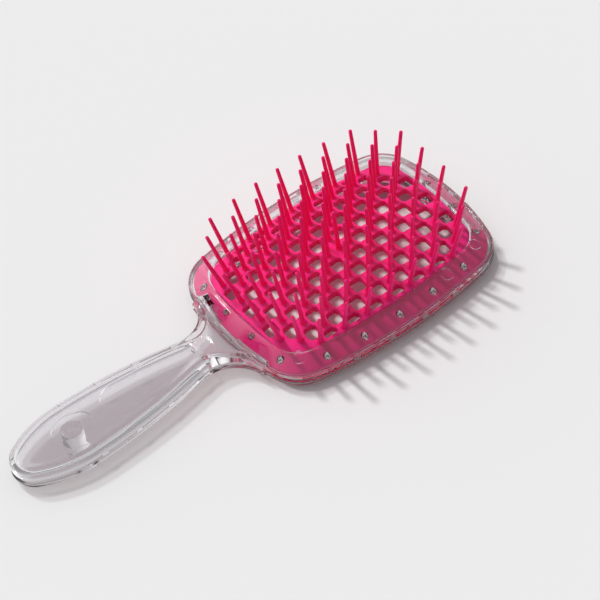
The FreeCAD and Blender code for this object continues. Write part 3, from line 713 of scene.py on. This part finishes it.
@dataclass
class Handle:
    """The hollow clear handle: a crowned top shell and a tray under it, each of even wall."""

    layout: Layout
    tip: float = -104.98
    wide_x: float = -77.0
    wide: float = 14.78
    neck_x: float = -20.8
    neck: float = 8.4
    nose: float = 10.0
    flare: float = 14.4
    top: float = 13.0
    top_round: float = 5.0
    bottom: float = 1.6
    bottom_round: float = 2.7
    wall: float = 3.0
    ceiling: float = 10.3
    floor: float = 3.9
    hollow_round: float = 1.3
    crown: float = 0.35
    valley_low: float = 8.2
    valley_length: float = 17.0
    recess: float = 0.85
    recess_draft: float = 0.14
    leaf_tip: float = -21.0
    leaf_x: float = -54.5
    leaf_half: float = 7.0
    leaf_taper: float = 0.34
    leaf_end: float = 9.0
    emblem_x: float = -78.0
    emblem: tuple = (8.5, 5.5)
    post: float = 4.5
    dish: float = 2.5
    rim_height: float = 1.2
    rim_inset: float = 2.1
    rim_width: float = 1.1
    rows: tuple = (18, 26, 90)
    neck_rows: int = 50
    edge_columns: int = 12
    inner_columns: int = 56
    edge_growth: float = 1.7
    hollow_spread: float = 2.5
    hollow_end: float = -18.8
    overlap: float = 1.2
    joint_round: float = 0.3
    rim_blend: float = 0.35

    def arcs(self) -> tuple:
        """Centre, radius, start and stop turn of the nose, shoulder and taper arcs, and the flare's hub.

        The shoulder and taper arcs share their level point at the widest place: the shoulder touches the
        nose arc from outside it, and the taper touches the flare arc.
        """
        back = self.wide_x - self.tip - self.nose
        shoulder = (back ** 2 + self.wide ** 2 - self.nose ** 2) / (2 * (self.wide - self.nose))
        run = self.neck_x - self.wide_x
        rise = self.neck + self.flare - self.wide
        taper = (run ** 2 + rise ** 2 - self.flare ** 2) / (2 * (self.flare - rise))
        nose_hub = np.array([self.tip + self.nose, 0.0])
        shoulder_hub = np.array([self.wide_x, self.wide - shoulder])
        taper_hub = np.array([self.wide_x, self.wide - taper])
        flare_hub = np.array([self.neck_x, self.neck + self.flare])
        nose_turn = math.atan2(*(nose_hub - shoulder_hub)[::-1])
        taper_turn = math.atan2(*(flare_hub - taper_hub)[::-1])
        return ((nose_hub, self.nose, math.pi, nose_turn), (shoulder_hub, shoulder, nose_turn, math.pi / 2),
                (taper_hub, taper, math.pi / 2, taper_turn), (flare_hub, self.flare, taper_turn))

    def edge(self, inset: np.ndarray, stop_x: float) -> tuple:
        """X and half width of the handle's edge, row by row, at some insets.

        From the nose to the end of the taper a row follows the arcs' radii, so the point at inset d is
        hub + (radius - d) * (cos t, sin t). From there a row has one X, and the half width is that of
        the flare: hub_y - sqrt((flare + d)^2 - (x - hub_x)^2).

        Args:
            inset: the insets, one per column.
            stop_x: X where the rows end.

        Returns:
            Two arrays of rows by columns.
        """
        nose, shoulder, taper, flare = self.arcs()
        xs, ys = [], []
        for (hub, radius, start, stop), count in zip((nose, shoulder, taper), self.rows):
            turn = np.linspace(start, stop, count, endpoint=False)[:, None]
            xs.append(hub[0] + (radius - inset[None, :]) * np.cos(turn))
            ys.append(hub[1] + (radius - inset[None, :]) * np.sin(turn))
        hub, radius, turn = flare
        start = hub[0] - radius * math.cos(turn)
        share = np.linspace(0, 1, self.neck_rows)
        last = min(stop_x, hub[0] + radius - 0.02)
        row_x = start + (last - start) * np.sin(share * math.pi / 2)
        reach = (radius + inset[None, :]) ** 2 - (row_x[:, None] - hub[0]) ** 2
        xs.append(np.broadcast_to(row_x[:, None], reach.shape))
        ys.append(hub[1] - np.sqrt(np.maximum(reach, 0)))
        return np.concatenate(xs), np.maximum(np.concatenate(ys), 0)

    def depth_inside(self, x: np.ndarray, y: np.ndarray) -> np.ndarray:
        """Distance from a point to the handle's edge, from the arc that is nearest to it.

        Args:
            x: X of the points.
            y: Y of the points.

        Returns:
            The distances, positive inside the edge.
        """
        nose, shoulder, taper, flare = self.arcs()
        y = np.abs(y)
        depth = np.full(x.shape, FAR)
        for hub, radius, start, stop in (nose, shoulder, taper):
            turn = np.arctan2(y - hub[1], x - hub[0])
            inside = (turn <= start + 1e-9) & (turn >= stop - 1e-9)
            away = radius - np.hypot(x - hub[0], y - hub[1])
            depth = np.where(inside, np.minimum(depth, away), depth)
        hub, radius, turn = flare
        away = np.hypot(x - hub[0], y - hub[1]) - radius
        past = np.arctan2(y - taper[0][1], x - taper[0][0]) < turn
        return np.where(past, np.minimum(depth, away), depth)

    @staticmethod
    def shoulder_drop(depth: np.ndarray, radius: float) -> np.ndarray:
        """How far a rounded edge lies below the face: r - sqrt(r^2 - (r - d)^2), and 0 past the round."""
        left = np.clip(radius - depth, 0, radius)
        return radius - np.sqrt(np.maximum(radius ** 2 - left ** 2, 0))

    def leaf_outline(self) -> np.ndarray:
        """Outline of the thumb leaf, anticlockwise: half an ellipse behind, a blunt tapering tongue ahead.

        Ahead of its widest place, at a share s of the way to the tip, the half width is
        half * (1 - taper * s) * (1 - s^6)^(1 / 2.4).
        """
        turn = np.linspace(math.pi / 2, 3 * math.pi / 2, 40)
        behind = unit(turn) * [self.leaf_end, self.leaf_half] + [self.leaf_x, 0]
        share = np.sin(np.linspace(0, math.pi / 2, 60))[1:]
        half = self.leaf_half * (1 - self.leaf_taper * share) * (1 - share ** 6) ** (1 / 2.4)
        x = self.leaf_x + (self.leaf_tip - self.leaf_x) * share
        below = np.stack([x, -half], axis=1)
        above = np.stack([x, half], axis=1)[-2::-1]
        return np.concatenate([behind, below, above])

    def emblem_outline(self) -> np.ndarray:
        """Outline of the plain oval, anticlockwise."""
        turn = np.linspace(0, 2 * math.pi, 72, endpoint=False)
        return unit(turn) * self.emblem + [self.emblem_x, 0]

    def cutter(self, name: str, outline: np.ndarray) -> bpy.types.Object:
        """A closed form that cuts a shallow recess with sloped walls and a rounded foot.

        Args:
            name: the object's name.
            outline: the recess's floor outline, anticlockwise.

        Returns:
            The form: each level is the outline moved out along its normals.
        """
        floor = self.top - self.recess
        levels = [(-0.25, floor), (-0.08, floor + 0.04), (0.0, floor + 0.14),
                  (self.recess_draft, self.top), (2 * self.recess_draft, self.top + self.recess)]
        offset, height = np.array(levels).T
        flat = moved_out(outline, offset)
        rise = np.broadcast_to(height[None, :, None], flat.shape[:2] + (1,))
        points = np.concatenate([flat, rise], axis=-1).reshape(-1, 3)
        count, deep = flat.shape[:2]
        low = (np.arange(count) * deep)[None, ::-1]
        high = (np.arange(count) * deep + deep - 1)[None]
        return mesh_object(name, points, [grid_quads(count, deep, True, False), low, high])

    def valley(self, x: np.ndarray, y: np.ndarray) -> np.ndarray:
        """Height of the saddle over the neck: a smooth S from the top down to the ring's edge."""
        ring = self.layout.head_x - self.layout.head_length / 2
        share = np.clip((ring - 1 - x) / self.valley_length, 0, 1)
        ease = share ** 2 * (3 - 2 * share)
        return self.valley_low + (self.top - self.valley_low) * ease + 0.02 * y ** 2 * (1 - ease) ** 2 * 0.2

    def top_height(self, x: np.ndarray, y: np.ndarray) -> np.ndarray:
        """Height of the handle's top: crown, rounded edge, and the saddle with a raised rim on each side.

        The rim stands rim_height * exp(-((depth - inset) / width)^2) above the saddle and fades out with it.
        """
        depth = self.depth_inside(x, y)
        face = self.top - self.crown * (y / self.wide) ** 2
        edge = face - self.shoulder_drop(depth, self.top_round)
        dip = self.valley(x, y)
        fade = np.clip((self.top - dip) / (self.top - self.valley_low), 0, 1)
        dip = dip + self.rim_height * fade * np.exp(-((depth - self.rim_inset) / self.rim_width) ** 2)
        gap = np.clip(0.5 + 0.5 * (dip - edge) / self.rim_blend, 0, 1)
        return dip * (1 - gap) + edge * gap - self.rim_blend * gap * (1 - gap)

    def slab(self, name: str, inset: float, stop_x: float, past: float, surfaces: dict) -> bpy.types.Object:
        """A closed slab inside the handle's edge, from the nose to a straight or curved stop.

        Rows run across the handle, each a loop over the top and back under the bottom, with columns at
        growing insets near the edge and even steps between them.

        Args:
            name: the object's name.
            inset: how far the slab's edge lies inside the handle's.
            stop_x: X of the last row.
            past: how far the end is carried past the head's outer edge, or 0 for a straight end.
            surfaces: height function of x and y for each Skin.

        Returns:
            The closed mesh.
        """
        spread = self.top_round if inset == 0 else self.hollow_spread
        near = inset + spread * np.linspace(0, 1, self.edge_columns, endpoint=False) ** self.edge_growth
        lateral = np.linspace(-1, 1, self.inner_columns)
        insets = np.concatenate([near, np.full(self.inner_columns, inset + spread), near[::-1]])
        factor = np.concatenate([np.full(self.edge_columns, -1.0), lateral, np.full(self.edge_columns, 1.0)])
        x, half = self.edge(insets, stop_x)
        y = half * factor[None, :]
        if past:
            x = np.concatenate([x, self.layout.ring_edge_x(y[-1:]) + past])
            y = np.concatenate([y, y[-1:]])
        top = np.stack([x, y, surfaces[Skin.TOP](x, y)], axis=-1)
        bottom = np.stack([x, y, surfaces[Skin.BOTTOM](x, y)], axis=-1)[:, ::-1]
        loop = np.concatenate([top, bottom], axis=1)
        rows, columns = loop.shape[:2]
        faces = grid_quads(rows, columns, False, True)
        across = top.shape[1]
        k = np.arange(across - 1)
        base = (rows - 1) * columns
        cap = np.stack([base + k, base + k + 1, base + columns - 2 - k, base + columns - 1 - k], axis=1)
        return mesh_object(name, loop.reshape(-1, 3), [faces, cap])

    def top_shell(self) -> bpy.types.Object:
        """The top shell: the crowned slab, less its hollow."""
        rim = self.layout.upper_rim
        outer = self.slab("top_outer", 0.0, FAR, self.overlap, {
            Skin.TOP: self.top_height,
            Skin.BOTTOM: lambda x, y: rim + self.shoulder_drop(
                self.depth_inside(x, y), self.joint_round)})
        hollow = self.slab("top_hollow", self.wall, self.hollow_end, 0.0, {
            Skin.TOP: lambda x, y: self.ceiling - self.shoulder_drop(
                self.depth_inside(x, y) - self.wall, self.hollow_round),
            Skin.BOTTOM: lambda x, y: np.full(x.shape, rim - 1.0)})
        combine(outer, [hollow, self.cutter("leaf", self.leaf_outline()),
                        self.cutter("oval", self.emblem_outline())], "DIFFERENCE")
        return outer

    def tray(self) -> bpy.types.Object:
        """The tray: a slab with a rounded underside, less its hollow."""
        rim = self.layout.lower_rim
        outer = self.slab("tray_outer", 0.0, FAR, self.overlap, {
            Skin.TOP: lambda x, y: rim - self.shoulder_drop(
                self.depth_inside(x, y), self.joint_round),
            Skin.BOTTOM: lambda x, y: self.bottom + self.shoulder_drop(
                self.depth_inside(x, y), self.bottom_round)})
        hollow = self.slab("tray_hollow", self.wall, self.hollow_end, 0.0, {
            Skin.TOP: lambda x, y: np.full(x.shape, rim + 1.0),
            Skin.BOTTOM: lambda x, y: self.floor + self.shoulder_drop(
                self.depth_inside(x, y) - self.wall, self.hollow_round)})
        combine(outer, [hollow], "DIFFERENCE")
        return outer

    def emblem_post(self) -> bpy.types.Object:
        """The round post under the oval recess: a turned form with a rounded rim."""
        low, high, radius, dish = self.floor - 0.3, self.ceiling - 0.15, self.post, self.dish
        profile = np.array([(0, low), (radius, low), (radius, high - 0.5), (radius - 0.15, high - 0.15),
                            (radius - 0.5, high), (dish + 0.3, high), (dish, high - 0.2),
                            (dish - 0.3, high - 0.9), (0, high - 1.0)], float)
        return turned("emblem_post", np.array([[self.emblem_x, 0.0]]), profile, 48)

    def ribs(self) -> bpy.types.Object:
        """Short ribs in the handle's joint gap, along the long taper."""
        hub, radius = self.arcs()[2][:2]
        middle = (self.neck_x + self.wide_x) / 2
        x = middle + self.layout.rib_pitch * np.array([-1.5, -0.5, 0.5, 1.5])
        turn = np.arcsin((x - hub[0]) / radius)
        y = hub[1] + np.cos(turn) * (radius - self.wall / 2)
        places = np.concatenate([np.stack([x, y], 1), np.stack([x, -y], 1)])
        return blocks("handle_ribs", places, np.concatenate([-turn, turn]), self.layout)


# ------------------------------------------------------------------ pad

@dataclass
class BristlePad:
    """The pink moulding: a domed net with vent holes, a sloping flange and splayed pins."""

    layout: Layout
    crest: float = 15.9
    long_radius: float = 290.0
    side_radius: float = 135.0
    thickness: float = 2.8
    flange_inset: float = 2.8
    flange_thickness: float = 2.0
    pitch: tuple = (5.24, 6.35)
    spread: tuple = (0.63, 1.28)
    bow: float = 1.3
    web: float = 1.35
    hole_half: tuple = (2.7, 2.9)
    border: float = 1.9
    edge_round: float = 0.32
    pin_length: float = 20.6
    pin_root: float = 0.98
    pin_tip: float = 0.74
    pin_sides: int = 14
    lean: tuple = ((0.031, 0.354), (0.081, 0.454))
    lean_reach: float = 37.2
    hole_round: float = 0.28
    border_inset: float = 0.3
    flange_overrun: float = 1.6
    bezel_wall: float = 2.0
    bezel_gap: float = 0.15
    peg_room: float = 0.3
    row_reach: tuple = (7, 8, 7, 8, 7, 6)
    hole_reach: tuple = (8, 7, 8, 7, 6, 5)

    def place(self, i: np.ndarray, j: np.ndarray) -> np.ndarray:
        """Places of the staggered lattice, measured from the head's middle.

        x = pitch * i + spread * (i / 8)^3, and
        y = pitch * j - spread * (j / 5)^3 - bow * (j / 5)^3 * (i / 6)^2.
        """
        across = j / 5
        x = self.pitch[0] * i + self.spread[0] * (i / 8) ** 3
        y = self.pitch[1] * j - self.spread[1] * across ** 3 - self.bow * across ** 3 * (i / 6) ** 2
        return np.stack([x, y], axis=-1)

    @staticmethod
    def sites(reach: tuple) -> np.ndarray:
        """Lattice numbers (i, j) of every second place in each row, out to the row's reach."""
        rows = [(i, j) for j in range(-5, 6) for i in range(-reach[abs(j)], reach[abs(j)] + 1, 2)]
        return np.array(rows, float)

    def dome(self, x: np.ndarray, y: np.ndarray, depth: float = 0.0) -> np.ndarray:
        """Height of the dome: a wide arc across, swung about a long arc along the head.

        Args:
            x: X of the points, from the head's middle.
            y: Y of the points.
            depth: how far inside the outer face.

        Returns:
            sqrt(c^2 - x^2) - long + crest, where c = sqrt((side - depth)^2 - y^2) - side + long.
        """
        across = np.sqrt((self.side_radius - depth) ** 2 - y ** 2) - self.side_radius + self.long_radius
        return np.sqrt(across ** 2 - x ** 2) - self.long_radius + self.crest

    def hole(self, i: float, j: float) -> np.ndarray:
        """Outline of one vent hole: a box with its corners cut off by the diamond between four pins."""
        middle = self.place(np.array(i), np.array(j))
        around = self.place(np.array([i + 1, i, i - 1, i]), np.array([j, j + 1, j, j - 1])) - middle
        across = abs(around[0, 0]) * abs(around[1, 1]) / np.hypot(*(around[0] - around[1]))
        corners = middle + around * (1 - self.web / 2 / across)
        for axis, reach in enumerate(self.hole_half):
            for sign in (1, -1):
                corners = clipped(corners, axis, sign, sign * middle[axis] + reach)
        opening = self.layout.opening
        limit_x = opening.length / 2 - self.border
        limit_y = (opening.width / 2 - self.border - opening.side
                   + math.sqrt(opening.side ** 2 - middle[0] ** 2))
        for axis, sign, limit in ((0, 1, limit_x), (0, -1, limit_x), (1, 1, limit_y), (1, -1, limit_y)):
            corners = clipped(corners, axis, sign, limit)
        return rounded([(x, y, self.hole_round) for x, y in corners], 5)

    def net(self) -> bpy.types.Object:
        """The net: one flat pattern carried onto the dome's outer and inner faces, with rounded hole edges.

        Round each hole and round the border, loops at growing distance d from the edge lie
        r - sqrt(r^2 - (r - d)^2) below the face, so that every edge is a quarter round.
        """
        away = self.edge_round * (1 - np.cos(np.linspace(0, math.pi / 2, 4)))
        drop = self.edge_round - np.sqrt(np.maximum(self.edge_round ** 2 - (self.edge_round - away) ** 2, 0))
        loops = [self.hole(i, j) for i, j in self.sites(self.hole_reach) if (i, j) != (0, 0)]
        border = self.layout.opening.inset(self.border_inset).ring() - [self.layout.head_x, 0]
        loops.append(border[::-1])
        points, faces, flat, edges, owner = [], [], [], [], []
        base = start = 0
        for number, loop in enumerate(loops):
            rings = moved_out(loop, away)
            x, y = rings[..., 0], rings[..., 1]
            high = np.stack([x, y, self.dome(x, y) - drop], axis=-1)[:, ::-1]
            low = np.stack([x, y, self.dome(x, y, self.thickness) + drop], axis=-1)
            both = np.concatenate([high, low], axis=1)
            count, deep = both.shape[:2]
            ring = np.arange(count)
            points.append(both.reshape(-1, 3))
            faces.append(base + grid_quads(count, deep, True, False))
            flat.append(rings[:, -1])
            edges.append(np.stack([start + ring, start + (ring + 1) % count], axis=1))
            first = base + ring * deep
            owner.append(np.stack([first, first + deep - 1, np.full(count, number)], axis=1))
            base += count * deep
            start += count
        pins = self.place(*self.sites(self.row_reach).T)
        x, y = pins.T
        points += [np.stack([x, y, self.dome(x, y, depth)], axis=1) for depth in (0.0, self.thickness)]
        first = base + np.arange(len(pins))
        owner.append(np.stack([first, first + len(pins), np.full(len(pins), -1)], axis=1))
        owners = np.concatenate(owner)
        triangles = triangulate(np.concatenate(flat + [pins]), np.concatenate(edges), owners[:, 2],
                                len(loops) - 1)
        faces += [owners[triangles, 0], owners[triangles[:, ::-1], 1]]
        return mesh_object("net", np.concatenate(points) + [self.layout.head_x, 0, 0], faces)

    def flange(self) -> bpy.types.Object:
        """The flange: a sloping band under the bezel, cut through for the pegs."""
        lay = self.layout
        run, slope = lay.bezel_run, lay.bezel_slope
        top = lay.upper_rim + (self.flange_inset - self.bezel_wall) * slope - self.bezel_gap
        end, bend = run + self.flange_overrun, run - 0.3
        rise = (end - self.flange_inset) * slope
        section = rounded([(self.flange_inset, top - self.flange_thickness, 0.3),
                           (end, top + rise - self.flange_thickness - 0.4, 0.2),
                           (end, top + rise - 0.7, 0.3),
                           (bend, top + (bend - self.flange_inset) * slope, 0.6),
                           (self.flange_inset, top, 0.4)], 5)
        band = carried("flange", lay.across_bezel(section[:, 0] / run), section[:, 1])
        radius = lay.peg_radius + self.peg_room
        profile = np.array([(0, 2.0), (radius, 2.0), (radius, 14.0), (0, 14.0)], float)
        combine(band, [turned("drills", lay.pegs(), profile, 28)], "DIFFERENCE")
        return band

    def pins(self) -> bpy.types.Object:
        """The pins: one turned profile, stood at each site and leant outwards.

        The lean along and across the head is even * s + steep * s^3 at a share s of the way out. The
        profile's radius shrinks evenly from root to tip, with a flared foot and a round end. A
        profile point goes to site + u * radius * cos t + v * radius * sin t + axis * height, where u and v
        are square to the axis.
        """
        sites = np.concatenate([self.sites(self.row_reach), [[0.0, 0.0]]])
        place = self.place(*sites.T)
        x, y = place.T
        along, across = x / (self.layout.opening.length / 2), y / self.lean_reach
        lean = [even * share + steep * share ** 3 for (even, steep), share in zip(self.lean, (along, across))]
        axis = np.stack([*lean, np.ones_like(x)], axis=1)
        axis /= np.linalg.norm(axis, axis=1, keepdims=True)
        u = np.cross(np.array([0.0, 1.0, 0.0]), axis)
        u /= np.linalg.norm(u, axis=1, keepdims=True)
        v = np.cross(axis, u)
        root = np.stack([x + self.layout.head_x, y, self.dome(x, y)], axis=1)
        round_end = np.linspace(0, math.pi / 2, 6)
        top = self.pin_length - self.pin_tip
        foot = [(0.0, -0.8), (self.pin_root + 0.75, -0.8), (self.pin_root + 0.55, -0.1),
                (self.pin_root + 0.22, 0.22), (self.pin_root + 0.06, 0.6), (self.pin_root, 1.1)]
        end = [(self.pin_tip * math.cos(t), top + self.pin_tip * math.sin(t)) for t in round_end]
        profile = np.array(foot + end, float)
        profile[-1, 0] = 0.0
        turn = np.linspace(0, 2 * math.pi, self.pin_sides, endpoint=False)
        radial = u[:, None, :] * np.cos(turn)[None, :, None] + v[:, None, :] * np.sin(turn)[None, :, None]
        points = (root[:, None, None, :] + radial[:, :, None, :] * profile[None, None, :, :1]
                  + axis[:, None, None, :] * profile[None, None, :, 1:])
        quads = grid_quads(self.pin_sides, len(profile), True, False)
        faces = repeated(quads, len(sites), self.pin_sides * len(profile))
        return mesh_object("pins", points.reshape(-1, 3), [faces])


def clipped(corners: np.ndarray, axis: int, sign: int, limit: float) -> np.ndarray:
    """A polygon cut off at a line square to an axis.

    Args:
        corners: the polygon's corners.
        axis: 0 for X, 1 for Y.
        sign: 1 to cut above the limit, -1 to cut below minus the limit.
        limit: where the line crosses the axis.

    Returns:
        The corners that are left, with new ones on the line.
    """
    room = limit - sign * corners[:, axis]
    kept = []
    for step, spot in enumerate(corners):
        if (room[step] > 0) != (room[step - 1] > 0):
            share = room[step - 1] / (room[step - 1] - room[step])
            kept.append(corners[step - 1] + (spot - corners[step - 1]) * share)
        if room[step] > 0:
            kept.append(spot)
    return np.array(kept)


def triangulate(spots: np.ndarray, edges: np.ndarray, owner: np.ndarray, outline: int) -> np.ndarray:
    """Triangles that fill an outline and leave its holes open.

    Args:
        spots: points in the plane.
        edges: pairs of point numbers that triangles may not cross.
        owner: number of the loop that each point belongs to, or -1.
        outline: number of the outer loop.

    Returns:
        Array of triangles, anticlockwise.
    """
    faces, sources = delaunay_2d_cdt(
        [Vector(spot) for spot in spots.tolist()], edges.tolist(), [], 1, 1e-7)[2:4]
    first = np.array([source[0] for source in sources])
    triangles = first[np.array([list(face) for face in faces])]
    loops = owner[triangles]
    inside = (loops[:, 0] == loops[:, 1]) & (loops[:, 1] == loops[:, 2]) & (loops[:, 0] >= 0)
    triangles = triangles[~(inside & (loops[:, 0] != outline))]
    a, b, c = (spots[triangles[:, k]] for k in range(3))
    area = (b[:, 0] - a[:, 0]) * (c[:, 1] - a[:, 1]) - (b[:, 1] - a[:, 1]) * (c[:, 0] - a[:, 0])
    triangles[area < 0] = triangles[area < 0][:, ::-1]
    return triangles


# ------------------------------------------------------------------ assembly

def dress(piece: bpy.types.Object, finish: Finish, nodes: list) -> None:
    """Give a piece its material and body, hide the CAD nodes that it stands for, and report it.

    Args:
        piece: the object.
        finish: the finish.
        nodes: names of the CAD nodes that the piece replaces.
    """
    piece.data.materials.clear()
    piece.data.materials.append(finish.material())
    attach(piece, BODY)
    if nodes:
        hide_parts(*nodes)
    log.info("%s: %d faces", piece.name, len(piece.data.polygons))


@dataclass
class ClearShells:
    """Both clear mouldings, each joined into one skin."""

    layout: Layout
    finish: ClearPlastic = field(default_factory=ClearPlastic)

    def build(self) -> tuple:
        """The front and back mouldings."""
        ring, handle = HeadRing(self.layout), Handle(self.layout)
        front = ring.bezel()
        combine(front, [handle.top_shell(), ring.pegs()] + ring.marks(), "UNION")
        front.name = front.data.name = "clear_front"
        back = ring.bowl_ring()
        combine(back, [handle.tray(), ring.sockets(), handle.emblem_post(), ring.ribs(), handle.ribs()],
                "UNION")
        back.name = back.data.name = "clear_back"
        return front, back

    def dress(self, front: bpy.types.Object, back: bpy.types.Object) -> None:
        """Shade and dress both mouldings."""
        for piece, node in ((front, "front_frame"), (back, "back_frame")):
            finish_surface(piece, 32)
            dress(piece, self.finish, [node])


@dataclass
class PadDressing:
    """The pad's pieces with their finish. The pins get a brighter copy of it, which is painted light: it
    stands in for light reaching their front sides.
    """

    layout: Layout
    finish: SatinPink = field(default_factory=SatinPink)
    # Painted light: the pins' pink is brighter than the pad's, standing in for light that reaches their front
    # sides
    painted_light_pin_finish: SatinPink = field(default_factory=lambda: SatinPink(
        name="PinkPinsPaintedLight", colour=(1.0, 0.012, 0.200, 1.0), deep=(0.95, 0.008, 0.170, 1.0)))

    def build(self) -> list:
        """The net, flange and pins."""
        pad = BristlePad(self.layout)
        pieces = [pad.net(), pad.flange(), pad.pins()]
        for piece, name in zip(pieces, ("pad_net", "pad_flange", "pad_pins")):
            piece.name = piece.data.name = name
        return pieces

    def dress(self, pieces: list) -> None:
        """Shade and dress the pieces; the first one stands for the CAD pad."""
        for number, piece in enumerate(pieces):
            finish_surface(piece, 40)
            finish = self.painted_light_pin_finish if piece.name == "pad_pins" else self.finish
            dress(piece, finish, ["bristle_pad"] if number == 0 else [])


@dataclass
class Studio:
    """Pale floor, soft light and the camera."""

    floor_colour: tuple = (0.885, 0.885, 0.88, 1.0)
    sky: float = 0.62
    sky_peak: tuple = (-0.30, 0.80, 0.52)
    sky_steps: tuple = ((0.62, 0.52), (0.93, 1.0), (0.985, 1.7))
    key_strength: float = 1.96
    key_from: tuple = (-0.16, 0.80, 1.0)
    key_angle: float = 5.0
    eye: tuple = (-0.419127, -0.760977, 0.998875)
    right: tuple = (0.791164, -0.602564, -0.104767)
    up: tuple = (0.511050, 0.557214, 0.654477)
    lens: float = 207.53

    def build(self) -> None:
        """Make the floor, the light and the camera."""
        self.floor()
        self.world()
        self.key()
        self.camera()

    def floor(self) -> None:
        """A flat pale floor at the resting plane."""
        half, low = 4000.0, -0.02
        points = np.array([(-half, -half, low), (half, -half, low), (half, half, low), (-half, half, low)])
        floor = mesh_object("floor", points, [np.array([(0, 1, 2, 3)])])
        made = bpy.data.materials.new("PaleFloor")
        made.use_nodes = True
        set_inputs(made.node_tree, made.node_tree.nodes["Principled BSDF"], {
            "Base Color": self.floor_colour, "Roughness": 0.7, "Specular IOR Level": 0.0})
        floor.data.materials.append(made)

    def world(self) -> None:
        """A soft sky, brightest low behind the head and dimmer overhead and in front."""
        world = bpy.data.worlds.new("Studio")
        bpy.context.scene.world = world
        world.use_nodes = True
        tree = world.node_tree
        where = add_node(tree, "ShaderNodeTexCoord").outputs["Generated"]
        toward = add_node(tree, "ShaderNodeVectorMath", {0: where, 1: Vector(self.sky_peak).normalized()},
                          operation="DOT_PRODUCT")
        spread = add_node(tree, "ShaderNodeMapRange", {"From Min": -1.0, "Value": toward.outputs["Value"]})
        ramp = add_node(tree, "ShaderNodeValToRGB", {"Fac": spread.outputs["Result"]})
        levels = ramp.color_ramp.elements
        levels[0].color = (0.42, 0.42, 0.44, 1)
        levels[1].color = (1.9, 1.9, 1.9, 1)
        for place, level in self.sky_steps:
            levels.new(place).color = (level, level, level * 1.02, 1)
        set_inputs(tree, tree.nodes["Background"], {"Color": ramp.outputs["Color"], "Strength": self.sky})

    def key(self) -> None:
        """The key light, far off, from behind the head and above."""
        lamp = bpy.data.lights.new("Key", "SUN")
        lamp.energy = self.key_strength
        lamp.angle = math.radians(self.key_angle)
        holder = bpy.data.objects.new("Key", lamp)
        holder.rotation_mode = "QUATERNION"
        holder.rotation_quaternion = Vector(self.key_from).to_track_quat("Z", "Y")
        holder.visible_glossy = False
        bpy.context.scene.collection.objects.link(holder)

    def camera(self) -> None:
        """A long lens from the handle's side, high up and slightly rolled."""
        lens = bpy.data.cameras.new("Camera")
        lens.sensor_width = 36.0
        lens.lens = self.lens
        holder = bpy.data.objects.new("Camera", lens)
        right, up = Vector(self.right), Vector(self.up)
        back = right.cross(up)
        turn = Matrix((right, up, back)).transposed()
        holder.matrix_world = Matrix.Translation(Vector(self.eye)) @ turn.to_4x4()
        lens.clip_start, lens.clip_end = 0.05, 20.0
        bpy.context.scene.collection.objects.link(holder)
        bpy.context.scene.camera = holder


def main() -> None:
    """Build and dress every piece, then the studio."""
    logging.basicConfig(level=logging.INFO)
    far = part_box("back_frame")[1].x / MM
    layout = Layout(head_x=far - Layout.head_length / 2 + Layout.trim)
    shells = ClearShells(layout)
    shells.dress(*shells.build())
    pad = PadDressing(layout)
    pad.dress(pad.build())
    Studio().build()
    bpy.context.scene.view_settings.view_transform = "Standard"


if __name__ == "__main__":
    main()
